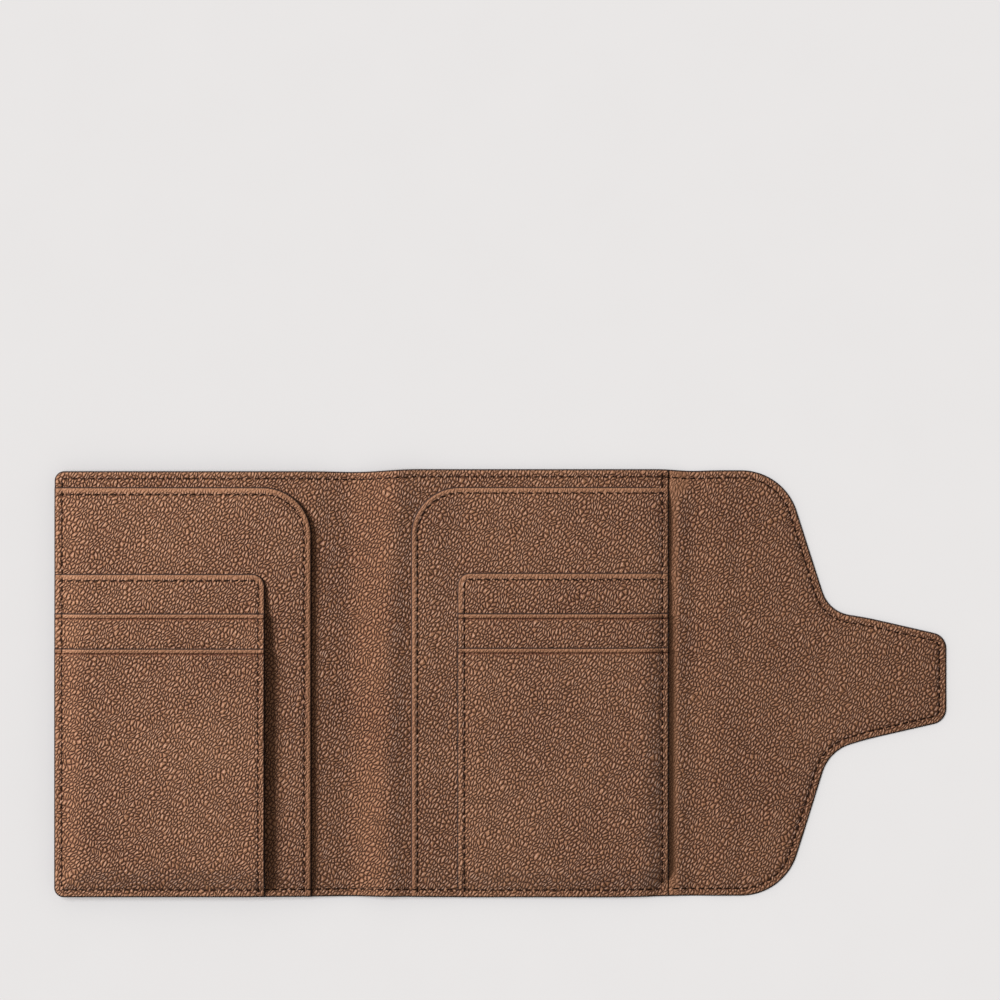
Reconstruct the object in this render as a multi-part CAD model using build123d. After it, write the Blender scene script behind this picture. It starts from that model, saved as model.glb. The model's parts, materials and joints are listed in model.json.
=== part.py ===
from build123d import *
import math
import os

# Leather travel document organizer, open flat with its inside facing up, in millimetres.
#
# +X runs across the open organizer from the front panel to the tip of the closing flap,
# +Y points at the pocket mouths and +Z points up. The origin is the middle of the
# underside. Every piece is first drawn in the flat pattern, where X starts at the fore-edge
# of the front panel and Z at the outer face of the cover, and then laid out at rest.
#
# Closed, the front panel folds over the back panel about the spine, the gusset stands up
# along the fore-edge, and the flap lies on the front panel with its tongue under the keeper.

# Cover and panels
COVER_HEIGHT = 142.5      # along Y
FRONT_WIDTH = 96.0        # fore-edge to front crease
FORE_EDGE_EASE = 2.8      # from the closed front panel's fore-edge to the gusset
EDGE_RADIUS = 3.2         # outer corners of the front panel

# Flap, measured from the flap crease
FLAP_LENGTH = 75.0
SHOULDER_AT = 20.8
TONGUE_ROOT_AT = 35.9
TONGUE_ROOT_HALF = 23.3   # half width of the tongue where its edges leave the shoulders
TONGUE_TIP_HALF = 14.3
SHOULDER_RADIUS = 19.5
ROOT_RADIUS = 12.5
TIP_RADIUS = 5.3

# Thicknesses
COVER_T = 0.9
BOARD_T = 1.0             # stiffening boards of the two panels
TAPE_T = 0.3              # reinforcing tape of the spine
CORE_T = 0.3              # reinforcing core of the flap
LINING_T = 0.7            # lining of front panel, spine and back panel
FLAP_LINING_T = 0.6
POCKET_T = 0.9
TEXTILE_T = 0.2           # textile backing of pockets and card slots
CARD_BACK_T = 0.7
UPPER_SLOT_T = 0.6
FRONT_SLOT_T = 0.7
STRAP_T = 0.9
THREAD_T = 0.2            # how far a seam's thread stands on the leather
THREAD_WIDTH = 0.5

# Passport pockets and card slots, the same on both panels
POCKET_TO_CREASE = 10.3   # inner edge of a passport pocket to its crease
POCKET_SETBACK = 6.5      # mouth of a passport pocket below the cover's top edge
POCKET_RADIUS = 16.2
CARD_INSET = 15.4         # inner edge of the card panel from the pocket's inner edge
CARD_SETBACK = 28.7       # top of the card panel below the pocket mouth
CARD_RADIUS = 4.3
UPPER_SLOT_STEP = 12.7    # upper slot edge below the card panel's top
FRONT_SLOT_STEP = 11.8    # front slot edge below the upper one
SLOT_LAP = 6.0            # how far the upper slot strip reaches under the front slot
SLOT_FLOOR = 16.5         # bottom of the upper slot's textile above the bottom edge
POCKET_GAP = 0.25         # room for a passport page block in the empty pocket
CARD_GAP = 0.2            # room for a card in each empty slot

# Seams, distances from an edge to the middle of the thread
EDGE_SEAM = 2.4
POCKET_SEAM = 2.3
CARD_SEAM = 2.0
LAP_SEAM = 2.3
SEAM_MARGIN = 3.6         # width of the border that is sewn down
BOARD_MARGIN = 4.0        # board edge inside the panel edge
LAP_WIDTH = 4.7           # flap lining that lies under the back lining's turned edge

# Keeper strap on the outside of the front panel
KEEPER_AT = 49.0          # middle of the strap from the flap crease, along the closed flap
KEEPER_WIDTH = 10.0
KEEPER_TAB = 6.5          # sewn length at each end
KEEPER_LEAN = 1.2         # how far a side wall of the loop leans out
KEEPER_CORNER = 2.0

# Clearances
TONGUE_EASE = 0.25        # above and below the tongue inside the keeper
TONGUE_SIDE_EASE = 0.7
FLAP_EASE = 0.25          # closed flap above the front cover
CLOSED_EASE = 1.1         # between the two pocket stacks of the closed organizer
CREASE_EASE = 0.12        # between the inner layers of two bodies at a full fold
CREASE_GAP = 0.05         # from a crease to the cover on each side of it
FIT = 0.1                 # round a board, core or tape in its recess
THREAD_GAP = 0.15         # between the ends of one seam and another seam

# Levels above the outer face of the cover
FOLD_PLANE = COVER_T
LINING_TOP = COVER_T + BOARD_T + LINING_T
POCKET_TOP = LINING_TOP + POCKET_GAP + TEXTILE_T + POCKET_T
CARD_BACK_TOP = POCKET_TOP + CARD_BACK_T
UPPER_SLOT_TOP = CARD_BACK_TOP + CARD_GAP + TEXTILE_T + UPPER_SLOT_T
FRONT_SLOT_TOP = UPPER_SLOT_TOP + CARD_GAP + FRONT_SLOT_T
SPINE_TOP = COVER_T + TAPE_T + LINING_T
GUSSET_TOP = COVER_T + FLAP_LINING_T
FLAP_TOP = COVER_T + CORE_T + FLAP_LINING_T
STACK = FRONT_SLOT_TOP + THREAD_T - FOLD_PLANE

# Places in the flat pattern
SPINE_WIDTH = 2 * STACK + CLOSED_EASE
GUSSET_WIDTH = SPINE_WIDTH + COVER_T + (FLAP_TOP - COVER_T) + FLAP_EASE
FRONT_CREASE = FRONT_WIDTH
BACK_CREASE = FRONT_CREASE + SPINE_WIDTH
LINING_STEP = BACK_CREASE + FRONT_WIDTH
GUSSET_CREASE = LINING_STEP + FORE_EDGE_EASE
FLAP_CREASE = GUSSET_CREASE + GUSSET_WIDTH
FLAP_TIP = FLAP_CREASE + FLAP_LENGTH
TOP = COVER_HEIGHT / 2
BOTTOM = -TOP
POCKET_INNER = FRONT_WIDTH - POCKET_TO_CREASE
POCKET_MOUTH = TOP - POCKET_SETBACK
CARD_INNER = POCKET_INNER - CARD_INSET
CARD_MOUTH = POCKET_MOUTH - CARD_SETBACK
UPPER_SLOT_EDGE = CARD_MOUTH - UPPER_SLOT_STEP
FRONT_SLOT_EDGE = UPPER_SLOT_EDGE - FRONT_SLOT_STEP

# Rest: the keeper holds the open front panel off the table and the spine slopes up to it
KEEPER_GAP = FLAP_TOP + 2 * TONGUE_EASE
KEEPER_DEPTH = KEEPER_GAP + STRAP_T
SPINE_TILT = math.degrees(math.asin(KEEPER_DEPTH / SPINE_WIDTH))
SPINE_RUN = SPINE_WIDTH * math.cos(math.radians(SPINE_TILT))
FRONT_SHIFT = SPINE_WIDTH - SPINE_RUN
MIDDLE = (FRONT_SHIFT + FLAP_TIP) / 2
COVER_RELIEF = COVER_T * math.tan(math.radians(SPINE_TILT / 2)) + CREASE_GAP


def sheet(left, right, bottom, top, rounded=()):
    """Flat rectangle, with a radius at each corner named in rounded as (x, y, radius)."""
    face = make_face(Polyline((left, bottom), (right, bottom), (right, top), (left, top), close=True)).face()
    for x, y, radius in rounded:
        corner = face.vertices().sort_by_distance(Vector(x, y, 0))[0]
        face = face.fillet_2d(radius, [corner])
    return face


def layer(face, bottom, top):
    """A flat piece between two levels."""
    return extrude(Pos(0, 0, bottom) * face, amount=top - bottom, dir=(0, 0, 1))


def fold_room(crease, side):
    """What a 90 degree fold needs clear: above the fold plane and past its bisector.

    side is +1 where the crease is the right end of the piece, and -1 where it is the left.
    """
    reach = 2 * STACK
    near = crease - side * CREASE_EASE
    profile = make_face(Polyline(
        (near, FOLD_PLANE),
        (near - side * reach, FOLD_PLANE + reach),
        (crease + side * reach, FOLD_PLANE + reach),
        (crease + side * reach, FOLD_PLANE),
        close=True,
    ))
    return extrude(Plane.XZ * profile, amount=COVER_HEIGHT, both=True)


def enclosing(face, filling, thickness, top):
    """A leather layer that closes round a thin filling glued under it."""
    room = offset(filling, amount=FIT, kind=Kind.INTERSECTION)
    return layer(face, COVER_T, top) - layer(room, COVER_T, COVER_T + thickness)


def thread(runs, steps):
    """The thread of a seam, lying on whichever piece is uppermost along its way.

    runs are wires, and steps are (face, level) pairs from the lowest piece to the highest.
    """
    pieces = []
    band = Sketch() + [trace(run, line_width=THREAD_WIDTH) for run in runs]
    for index, (face, level) in enumerate(steps):
        bare = Sketch() + face
        for covering, _ in steps[index + 1:]:
            bare = bare - covering
        crossing = band & bare
        pieces += [layer(part, level, level + THREAD_T) for part in crossing.faces()]
    return pieces


def tongue_half(along):
    """Half width of the tongue at a distance from the flap crease."""
    share = (along - TONGUE_ROOT_AT) / (FLAP_LENGTH - TONGUE_ROOT_AT)
    return TONGUE_ROOT_HALF + share * (TONGUE_TIP_HALF - TONGUE_ROOT_HALF)


def flap_corners(inset=0.0):
    """Outline of the flap as (x, y, radius), moved inwards by inset, without the crease side."""
    flank = math.atan2(TOP - TONGUE_ROOT_HALF, TONGUE_ROOT_AT - SHOULDER_AT)
    taper = math.atan2(TONGUE_ROOT_HALF - TONGUE_TIP_HALF, FLAP_LENGTH - TONGUE_ROOT_AT)
    turn = (flank - taper) / 2
    shoulder = (FLAP_CREASE + SHOULDER_AT - inset * math.tan(flank / 2), TOP - inset, SHOULDER_RADIUS - inset)
    lean = (flank + taper) / 2
    root = (
        FLAP_CREASE + TONGUE_ROOT_AT - inset * math.sin(lean) / math.cos(turn),
        TONGUE_ROOT_HALF - inset * math.cos(lean) / math.cos(turn),
        ROOT_RADIUS + inset,
    )
    rise = inset * math.tan(taper) + inset / math.cos(taper)
    tip = (FLAP_TIP - inset, TONGUE_TIP_HALF + 2 * inset * math.tan(taper) - rise, TIP_RADIUS - inset)
    upper = [shoulder, root, tip]
    return upper + [(x, -y, radius) for x, y, radius in reversed(upper)]


def flap_face(start):
    """The whole flap outline from the line x = start."""
    corners = flap_corners()
    points = [(start, TOP)] + [(x, y) for x, y, _ in corners] + [(start, BOTTOM)]
    face = make_face(Polyline(*points, close=True)).face()
    for x, y, radius in corners:
        corner = face.vertices().sort_by_distance(Vector(x, y, 0))[0]
        face = face.fillet_2d(radius, [corner])
    return face


def mirrored(shape):
    """The front panel's pattern turned over onto the back panel."""
    return mirror(shape, Plane.YZ.offset(FRONT_WIDTH + SPINE_WIDTH / 2))


def sewn_down(face, rim, bottom, seat, top):
    """A pocket wall: a leather plate whose rim is pressed down to the piece below it."""
    return layer(face, bottom, top) + layer(rim, seat, bottom)


def pocket_set(side, corner):
    """The six pocket pieces of one panel, drawn on the front panel, and their faces.

    corner is the radius where the fore-edge meets the bottom edge.
    """
    low = [(0, BOTTOM, corner)] if corner else []
    pocket = sheet(0, POCKET_INNER, BOTTOM, POCKET_MOUTH, low + [(POCKET_INNER, POCKET_MOUTH, POCKET_RADIUS)])
    card = sheet(0, CARD_INNER, BOTTOM, CARD_MOUTH, low + [(CARD_INNER, CARD_MOUTH, CARD_RADIUS)])
    upper = sheet(0, CARD_INNER, FRONT_SLOT_EDGE - SLOT_LAP, UPPER_SLOT_EDGE)
    front = sheet(0, CARD_INNER, BOTTOM, FRONT_SLOT_EDGE, low)

    inside = sheet(SEAM_MARGIN, POCKET_INNER - SEAM_MARGIN, BOTTOM + SEAM_MARGIN, TOP)
    slot_inside = sheet(SEAM_MARGIN, CARD_INNER - SEAM_MARGIN, BOTTOM + SEAM_MARGIN, TOP)
    wall_bottom = LINING_TOP + POCKET_GAP + TEXTILE_T
    strip_bottom = CARD_BACK_TOP + CARD_GAP + TEXTILE_T
    slot_bottom = UPPER_SLOT_TOP + CARD_GAP

    backing = sheet(
        SEAM_MARGIN + FIT, POCKET_INNER - SEAM_MARGIN - FIT,
        BOTTOM + SEAM_MARGIN + FIT, POCKET_MOUTH - POCKET_RADIUS,
    )
    slot_backing = sheet(
        SEAM_MARGIN + FIT, CARD_INNER - SEAM_MARGIN - FIT,
        BOTTOM + SLOT_FLOOR, UPPER_SLOT_EDGE - CARD_SEAM,
    )
    front_rim = front - slot_inside
    pieces = {
        "passport_pocket": sewn_down(pocket, pocket - inside, wall_bottom, LINING_TOP, POCKET_TOP),
        "passport_backing": layer(backing, wall_bottom - TEXTILE_T, wall_bottom),
        "card_panel": layer(card, POCKET_TOP, CARD_BACK_TOP),
        "upper_slot": sewn_down(upper, upper - slot_inside, strip_bottom, CARD_BACK_TOP, UPPER_SLOT_TOP),
        "slot_backing": layer(slot_backing, strip_bottom - TEXTILE_T, strip_bottom),
        "front_slot": layer(front, slot_bottom, FRONT_SLOT_TOP)
        + layer(front_rim, UPPER_SLOT_TOP, slot_bottom)
        + layer(front_rim - upper, CARD_BACK_TOP, UPPER_SLOT_TOP),
    }
    steps = [(pocket, POCKET_TOP), (card, CARD_BACK_TOP), (upper, UPPER_SLOT_TOP), (front, FRONT_SLOT_TOP)]
    return {f"{side}_{name}": piece for name, piece in pieces.items()}, steps


def edge_run(inset, inner, top, radius, start_gap):
    """A seam that follows a pocket's mouth, turns its inner corner and runs down to the bottom."""
    x, y = inner - inset, top - inset
    turn = radius - inset
    end = BOTTOM + EDGE_SEAM + THREAD_WIDTH + THREAD_GAP
    return Wire([
        Line((start_gap, y), (x - turn, y)),
        RadiusArc((x - turn, y), (x, y - turn), turn),
        Line((x, y - turn), (x, end)),
    ])


def keeper():
    """The keeper strap: a loop whose ends are sewn to the outside of the front panel."""
    inner = tongue_half(KEEPER_AT - KEEPER_WIDTH / 2) + TONGUE_SIDE_EASE
    foot = inner + KEEPER_LEAN
    end = foot + KEEPER_TAB
    wall = STRAP_T * KEEPER_GAP / math.hypot(KEEPER_GAP, KEEPER_LEAN)
    half = [
        (inner, -KEEPER_GAP),
        (foot, 0),
        (end, 0),
        (end, -STRAP_T),
        (foot + wall, -STRAP_T),
        (inner + wall, -KEEPER_DEPTH),
    ]
    outline = half + [(-y, z) for y, z in reversed(half)]
    middle = KEEPER_AT - FORE_EDGE_EASE
    loop = extrude(Plane.YZ * make_face(Polyline(*outline, close=True)), amount=KEEPER_WIDTH / 2, both=True)
    plan = RectangleRounded(KEEPER_WIDTH, 2 * end, KEEPER_CORNER)
    strap = Pos(middle, 0, 0) * (loop & layer(plan, -KEEPER_DEPTH - 1, 1))

    seam = []
    box = (KEEPER_WIDTH - 2 * CARD_SEAM, KEEPER_TAB - CARD_SEAM)
    for way in (1, -1):
        run = Pos(middle, way * (foot + wall / 2 + KEEPER_TAB / 2)) * Rectangle(*box)
        band = run - offset(run, amount=-THREAD_WIDTH)
        seam.append(layer(band.face(), -STRAP_T - THREAD_T, -STRAP_T))
    return strap, seam


def front_panel():
    """Everything that moves with the front panel, in the flat pattern."""
    outline = sheet(0, FRONT_CREASE, BOTTOM, TOP, [(0, TOP, EDGE_RADIUS), (0, BOTTOM, EDGE_RADIUS)])
    cover = outline & sheet(0, FRONT_CREASE - COVER_RELIEF, BOTTOM, TOP)
    board = sheet(BOARD_MARGIN, FRONT_CREASE - BOARD_MARGIN, BOTTOM + BOARD_MARGIN, TOP - BOARD_MARGIN)
    room = fold_room(FRONT_CREASE, 1)
    pockets, steps = pocket_set("front", EDGE_RADIUS)
    strap, strap_seam = keeper()

    turn = EDGE_RADIUS - EDGE_SEAM
    left, high = EDGE_SEAM, TOP - EDGE_SEAM
    edge = Wire([
        Line((FRONT_CREASE, high), (left + turn, high)),
        RadiusArc((left + turn, high), (left, high - turn), -turn),
        Line((left, high - turn), (left, turn - high)),
        RadiusArc((left, turn - high), (left + turn, -high), -turn),
        Line((left + turn, -high), (FRONT_CREASE, -high)),
    ])
    start = EDGE_SEAM + THREAD_WIDTH + THREAD_GAP
    nodes = {
        "cover_front": layer(cover, 0, COVER_T),
        "board_front": layer(board, COVER_T, COVER_T + BOARD_T),
        "lining_front": enclosing(outline, board, BOARD_T, LINING_TOP) - room,
        "keeper_strap": strap,
        "keeper_stitching": strap_seam,
        "front_edge_stitching": [piece - room for piece in thread([edge], [(outline, LINING_TOP)] + steps)],
        "front_pocket_stitching": thread(
            [edge_run(POCKET_SEAM, POCKET_INNER, POCKET_MOUTH, POCKET_RADIUS, start)], steps),
        "front_card_stitching": thread(
            [edge_run(CARD_SEAM, CARD_INNER, CARD_MOUTH, CARD_RADIUS, start)], steps),
    }
    return {**nodes, **pockets}


def spine():
    """Everything that moves with the spine, in the flat pattern."""
    left, right = FRONT_CREASE, BACK_CREASE
    outline = sheet(left, right, BOTTOM, TOP)
    tape = sheet(left + 2, right - 2, BOTTOM + BOARD_MARGIN, TOP - BOARD_MARGIN)
    room = fold_room(left, -1) + fold_room(right, 1)
    seams = [Line((left, y), (right, y)) for y in (TOP - EDGE_SEAM, EDGE_SEAM - TOP)]
    return {
        "cover_spine": layer(sheet(left + COVER_RELIEF, right - CREASE_GAP, BOTTOM, TOP), 0, COVER_T),
        "spine_tape": layer(tape, COVER_T, COVER_T + TAPE_T),
        "lining_spine": enclosing(outline, tape, TAPE_T, SPINE_TOP) - room,
        "spine_stitching": [piece - room for piece in thread(seams, [(outline, SPINE_TOP)])],
    }


def back_panel():
    """Everything that moves with the back panel, in the flat pattern."""
    left, right = BACK_CREASE, GUSSET_CREASE
    outline = sheet(left, LINING_STEP, BOTTOM, TOP)
    hem = sheet(LINING_STEP - LAP_WIDTH, LINING_STEP, BOTTOM, TOP)
    lap = sheet(LINING_STEP - LAP_WIDTH, right, BOTTOM, TOP)
    board = sheet(left + BOARD_MARGIN, LINING_STEP - LAP_WIDTH - FIT, BOTTOM + BOARD_MARGIN, TOP - BOARD_MARGIN)
    room = fold_room(left, -1)
    gusset_room = fold_room(right, 1)
    pockets, steps = pocket_set("back", 0)
    levels = [(outline, LINING_TOP)] + [(mirrored(face), level) for face, level in steps]

    seams = [Line((left, y), (LINING_STEP, y)) for y in (TOP - EDGE_SEAM, EDGE_SEAM - TOP)]
    lap_seams = [Line((LINING_STEP, y), (right, y)) for y in (TOP - EDGE_SEAM, EDGE_SEAM - TOP)]
    end = TOP - EDGE_SEAM - THREAD_WIDTH - THREAD_GAP
    step_seam = Line((LINING_STEP - LAP_SEAM, -end), (LINING_STEP - LAP_SEAM, end))
    beyond = sheet(LINING_STEP, right, BOTTOM, TOP)
    start = LAP_SEAM + THREAD_WIDTH + THREAD_GAP
    lining = enclosing(outline, board, BOARD_T, LINING_TOP) - layer(hem, COVER_T, GUSSET_TOP)
    nodes = {
        "cover_back": layer(sheet(left + CREASE_GAP, right - CREASE_GAP, BOTTOM, TOP), 0, COVER_T),
        "board_back": layer(board, COVER_T, COVER_T + BOARD_T),
        "lining_back": lining - room,
        "flap_lining_lap": layer(lap, COVER_T, GUSSET_TOP) - gusset_room,
        "back_edge_stitching": [piece - room for piece in thread(seams, levels)]
        + [piece - gusset_room for piece in thread(lap_seams, [(beyond, GUSSET_TOP)])],
        "lap_stitching": thread([step_seam], levels),
        "back_pocket_stitching": thread(
            [mirrored(edge_run(POCKET_SEAM, POCKET_INNER, POCKET_MOUTH, POCKET_RADIUS, start))], levels[1:]),
        "back_card_stitching": thread(
            [mirrored(edge_run(CARD_SEAM, CARD_INNER, CARD_MOUTH, CARD_RADIUS, start))], levels[1:]),
    }
    return {**nodes, **{name: mirrored(piece) for name, piece in pockets.items()}}


def gusset():
    """Everything that moves with the fore-edge gusset, in the flat pattern."""
    left, right = GUSSET_CREASE, FLAP_CREASE
    outline = sheet(left, right, BOTTOM, TOP)
    room = fold_room(left, -1) + fold_room(right, 1)
    seams = [Line((left, y), (right, y)) for y in (TOP - EDGE_SEAM, EDGE_SEAM - TOP)]
    return {
        "cover_gusset": layer(sheet(left + CREASE_GAP, right - CREASE_GAP, BOTTOM, TOP), 0, COVER_T),
        "lining_gusset": layer(outline, COVER_T, GUSSET_TOP) - room,
        "gusset_stitching": [piece - room for piece in thread(seams, [(outline, GUSSET_TOP)])],
    }


def flap():
    """Everything that moves with the closing flap, in the flat pattern."""
    outline = flap_face(FLAP_CREASE)
    core = flap_face(FLAP_CREASE + BOARD_MARGIN) & offset(outline, amount=-BOARD_MARGIN)
    room = fold_room(FLAP_CREASE, -1)
    corners = flap_corners(EDGE_SEAM)
    points = [(FLAP_CREASE, TOP - EDGE_SEAM)] + [(x, y) for x, y, _ in corners] + [(FLAP_CREASE, EDGE_SEAM - TOP)]
    seam = FilletPolyline(*points, radius=[radius for _, _, radius in corners])
    return {
        "cover_flap": layer(flap_face(FLAP_CREASE + CREASE_GAP), 0, COVER_T),
        "flap_core": layer(core.face(), COVER_T, COVER_T + CORE_T),
        "lining_flap": enclosing(outline, core.face(), CORE_T, FLAP_TOP) - room,
        "flap_stitching": [piece - room for piece in thread([seam], [(outline, FLAP_TOP)])],
    }


def solids_of(item):
    """All the solids of a piece or of a list of pieces."""
    pieces = item if isinstance(item, list) else [item]
    return [solid for piece in pieces for solid in piece.solids()]


LAY_FRONT = Pos(FRONT_SHIFT - MIDDLE, 0, KEEPER_DEPTH)
LAY_SPINE = Pos(BACK_CREASE - MIDDLE, 0, FOLD_PLANE) * Rot(0, SPINE_TILT, 0) * Pos(-BACK_CREASE, 0, -FOLD_PLANE)
LAY_FLAT = Pos(-MIDDLE, 0, 0)

os.makedirs("parts", exist_ok=True)
for build_body, place in (
    (front_panel, LAY_FRONT),
    (spine, LAY_SPINE),
    (back_panel, LAY_FLAT),
    (gusset, LAY_FLAT),
    (flap, LAY_FLAT),
):
    for name, item in build_body().items():
        placed = [place * solid for solid in solids_of(item)]
        export_step(placed[0] if len(placed) == 1 else Compound(children=placed), f"parts/{name}.step")

print(f"spine tilt {SPINE_TILT:.4f} degrees, keeper depth {KEEPER_DEPTH:.3f}, spine width {SPINE_WIDTH:.3f}")
for crease, x, z in (
    ("front", FRONT_CREASE + FRONT_SHIFT, KEEPER_DEPTH + FOLD_PLANE),
    ("back", BACK_CREASE, FOLD_PLANE),
    ("gusset", GUSSET_CREASE, FOLD_PLANE),
    ("flap", FLAP_CREASE, FOLD_PLANE),
):
    print(f"{crease} crease at x {x - MIDDLE:.4f}, z {z:.4f}")
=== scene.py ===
# %% [markdown]
# # A leather travel organizer, open flat
#
# The organizer is a flat stack of leather: an outer cover, stiffening boards, a lining, and on
# each panel a passport pocket with a stepped card stack on it. A gusset and a tapered flap
# close it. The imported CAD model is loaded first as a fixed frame. Every size below is either
# read from that frame or is a thickness or radius of the leather, in millimetres.

# %% The frame
import json
import math
from functools import partial

import bpy
import numpy as np
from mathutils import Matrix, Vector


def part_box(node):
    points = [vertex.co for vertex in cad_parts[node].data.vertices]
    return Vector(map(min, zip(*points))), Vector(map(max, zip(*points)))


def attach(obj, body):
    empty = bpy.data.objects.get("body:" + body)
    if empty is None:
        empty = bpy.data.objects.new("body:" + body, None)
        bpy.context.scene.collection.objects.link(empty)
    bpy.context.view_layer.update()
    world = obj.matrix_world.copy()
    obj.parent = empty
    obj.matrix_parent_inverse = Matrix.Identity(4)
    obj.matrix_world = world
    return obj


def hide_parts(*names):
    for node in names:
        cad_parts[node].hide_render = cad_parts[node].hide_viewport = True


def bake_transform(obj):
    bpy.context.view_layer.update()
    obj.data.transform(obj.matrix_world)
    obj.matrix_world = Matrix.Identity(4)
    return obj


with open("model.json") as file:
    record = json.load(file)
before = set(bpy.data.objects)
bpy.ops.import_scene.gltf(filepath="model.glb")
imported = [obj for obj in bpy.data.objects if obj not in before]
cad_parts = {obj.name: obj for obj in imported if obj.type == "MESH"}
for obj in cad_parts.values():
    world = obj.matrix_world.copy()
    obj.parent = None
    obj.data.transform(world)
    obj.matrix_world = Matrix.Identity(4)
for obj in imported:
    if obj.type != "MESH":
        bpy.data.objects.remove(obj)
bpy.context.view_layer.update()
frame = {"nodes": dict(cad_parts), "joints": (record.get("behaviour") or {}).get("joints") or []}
MM = 0.001  # one millimetre in the scene's metres


def span(node):
    """The lowest and highest corner of a CAD node, in millimetres."""
    return [np.array(corner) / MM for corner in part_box(node)]


joint_x = {joint["name"]: joint["pos_m"][0] / MM for joint in frame["joints"]}
CREASES = [joint_x[f"{name}_crease"] for name in ("front", "back", "gusset", "flap")]
FRONT_CREASE, BACK_CREASE, GUSSET_CREASE, FLAP_CREASE = CREASES
MID_SPINE = (FRONT_CREASE + BACK_CREASE) / 2
MID_GUSSET = (GUSSET_CREASE + FLAP_CREASE) / 2
LEFT = span("cover_front")[0][0]
LIFT = span("cover_front")[0][2]
TIP = span("cover_flap")[1][0]
TOP = span("cover_back")[1][1]
BOTTOM = -TOP
LINING_STEP = span("lining_back")[1][0]
print("creases at", [round(float(place), 2) for place in CREASES])

# %% [markdown]
# ## Smooth changes
#
# Almost every shape here is a height that changes along the organizer: a panel that rises, a
# layer that ends, a seam that is pressed in. They could be drawn as curves by hand. A list of
# numbers is easier to correct, so each change is one row: where it starts, where it ends and
# how much it adds. All of them use the same step with level ends, so nothing ever kinks.

# %% Steps and rises
def smooth(t):
    """A step from 0 to 1 with level ends: 3t^2 - 2t^3."""
    t = np.clip(t, 0, 1)
    return t * t * (3 - 2 * t)


def rises(x, base, steps):
    """A height that starts at base and changes smoothly by an amount between start and end,
    once for each (start, end, amount). Changes may overlap, which joins them into one slope."""
    height = np.full_like(np.asarray(x, float), base)
    for start, end, amount in steps:
        height = height + amount * smooth((x - start) / (end - start))
    return height


print("a step at a quarter, a half and three quarters:", smooth(np.array([0.25, 0.5, 0.75])))

# %% [markdown]
# ## Heights of the layers
#
# The CAD gives each layer's level over the outer face of the cover. Real leather is not a
# stack of plates, though: it is pressed thin where it is sewn, it sags into the spine and it
# bows up a little between two creases. So every layer's height is its level, pressed near the
# sewn edge, on top of one gentle ground surface that all the layers share. Sculpting could
# draw such waves too, but only a shared formula makes sure that no layer cuts its neighbour.

# %% Levels and the ground surface
COVER = span("cover_back")[1][2]
PANEL = span("lining_back")[1][2]
GUSSET = span("lining_gusset")[1][2]
FLAP = span("lining_flap")[1][2]
SPINE = COVER + 1.0  # there is only a tape between cover and lining
GROUND_STEPS = [
    (FRONT_CREASE - 30, FRONT_CREASE - 4, -1.0),     # the front panel's last third sinks
    (FRONT_CREASE - 14, FRONT_CREASE + 5, -1.20),    # and drops into the valley at its crease
    (FRONT_CREASE + 1, BACK_CREASE + 3, 2.55),       # the spine climbs to its soft fold
    (BACK_CREASE + 2, BACK_CREASE + 10, -1.15),      # and falls beyond it, first steeply
    (BACK_CREASE + 5, BACK_CREASE + 27, -1.76),      # then slowly, under the passport pocket
    (LINING_STEP - 3, GUSSET_CREASE + 8, -0.60),     # the gusset lies lower
    (GUSSET_CREASE + 5, FLAP_CREASE - 1, 0.45),      # and is a shallow hollow
    (FLAP_CREASE - 1, FLAP_CREASE + 7, -0.49),       # before the flap
]


def ground(x, y):
    """Underside of the cover: the sum of GROUND_STEPS. On the spine its slope wanders up to
    3 mm to the right towards the top, and the back panel bows by 0.08 mm in long waves."""
    on_spine = smooth((x - MID_SPINE) / 6) * (1 - smooth((x - MID_SPINE - 30) / 12))
    wander = 3 * smooth((y - 5) / 60) * on_spine
    on_back = smooth((x - BACK_CREASE) / 12) * (1 - smooth((x - LINING_STEP + 14) / 12))
    wave = 0.08 * np.sin(x / 13 + 0.6) * np.cos(y / 27)
    return rises(x - wander, LIFT, GROUND_STEPS) + wave * on_back


def sandwich(x):
    """Level of the uppermost lining along the organizer, with nothing pressed."""
    thin = SPINE - PANEL
    return rises(x, PANEL, [
        (FRONT_CREASE - 11, FRONT_CREASE + 4, thin), (FRONT_CREASE + 5, BACK_CREASE + 3, -thin)])


def flap_sandwich(x):
    """Level of the flap's lining, from its lap under the back lining to the tongue."""
    return rises(x, GUSSET, [(FLAP_CREASE - 2, FLAP_CREASE + 6, FLAP - GUSSET)])


print("levels", {"cover": round(float(COVER), 2), "panel": round(float(PANEL), 2),
                 "spine": round(float(SPINE), 2), "flap": round(float(FLAP), 2)})

# %% [markdown]
# ## Outlines
#
# A leather piece is cut to a polygon with rounded corners. Each corner is given as x, y and
# radius, and the arc is worked out from the two sides that meet there. Blender's Bevel could
# round a drawn polygon too, but then the outline would exist only in the mesh, and the seams
# and the edge paint that follow it need the line itself.

# %% Rounded outlines
ARC_STEPS = 24


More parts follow.
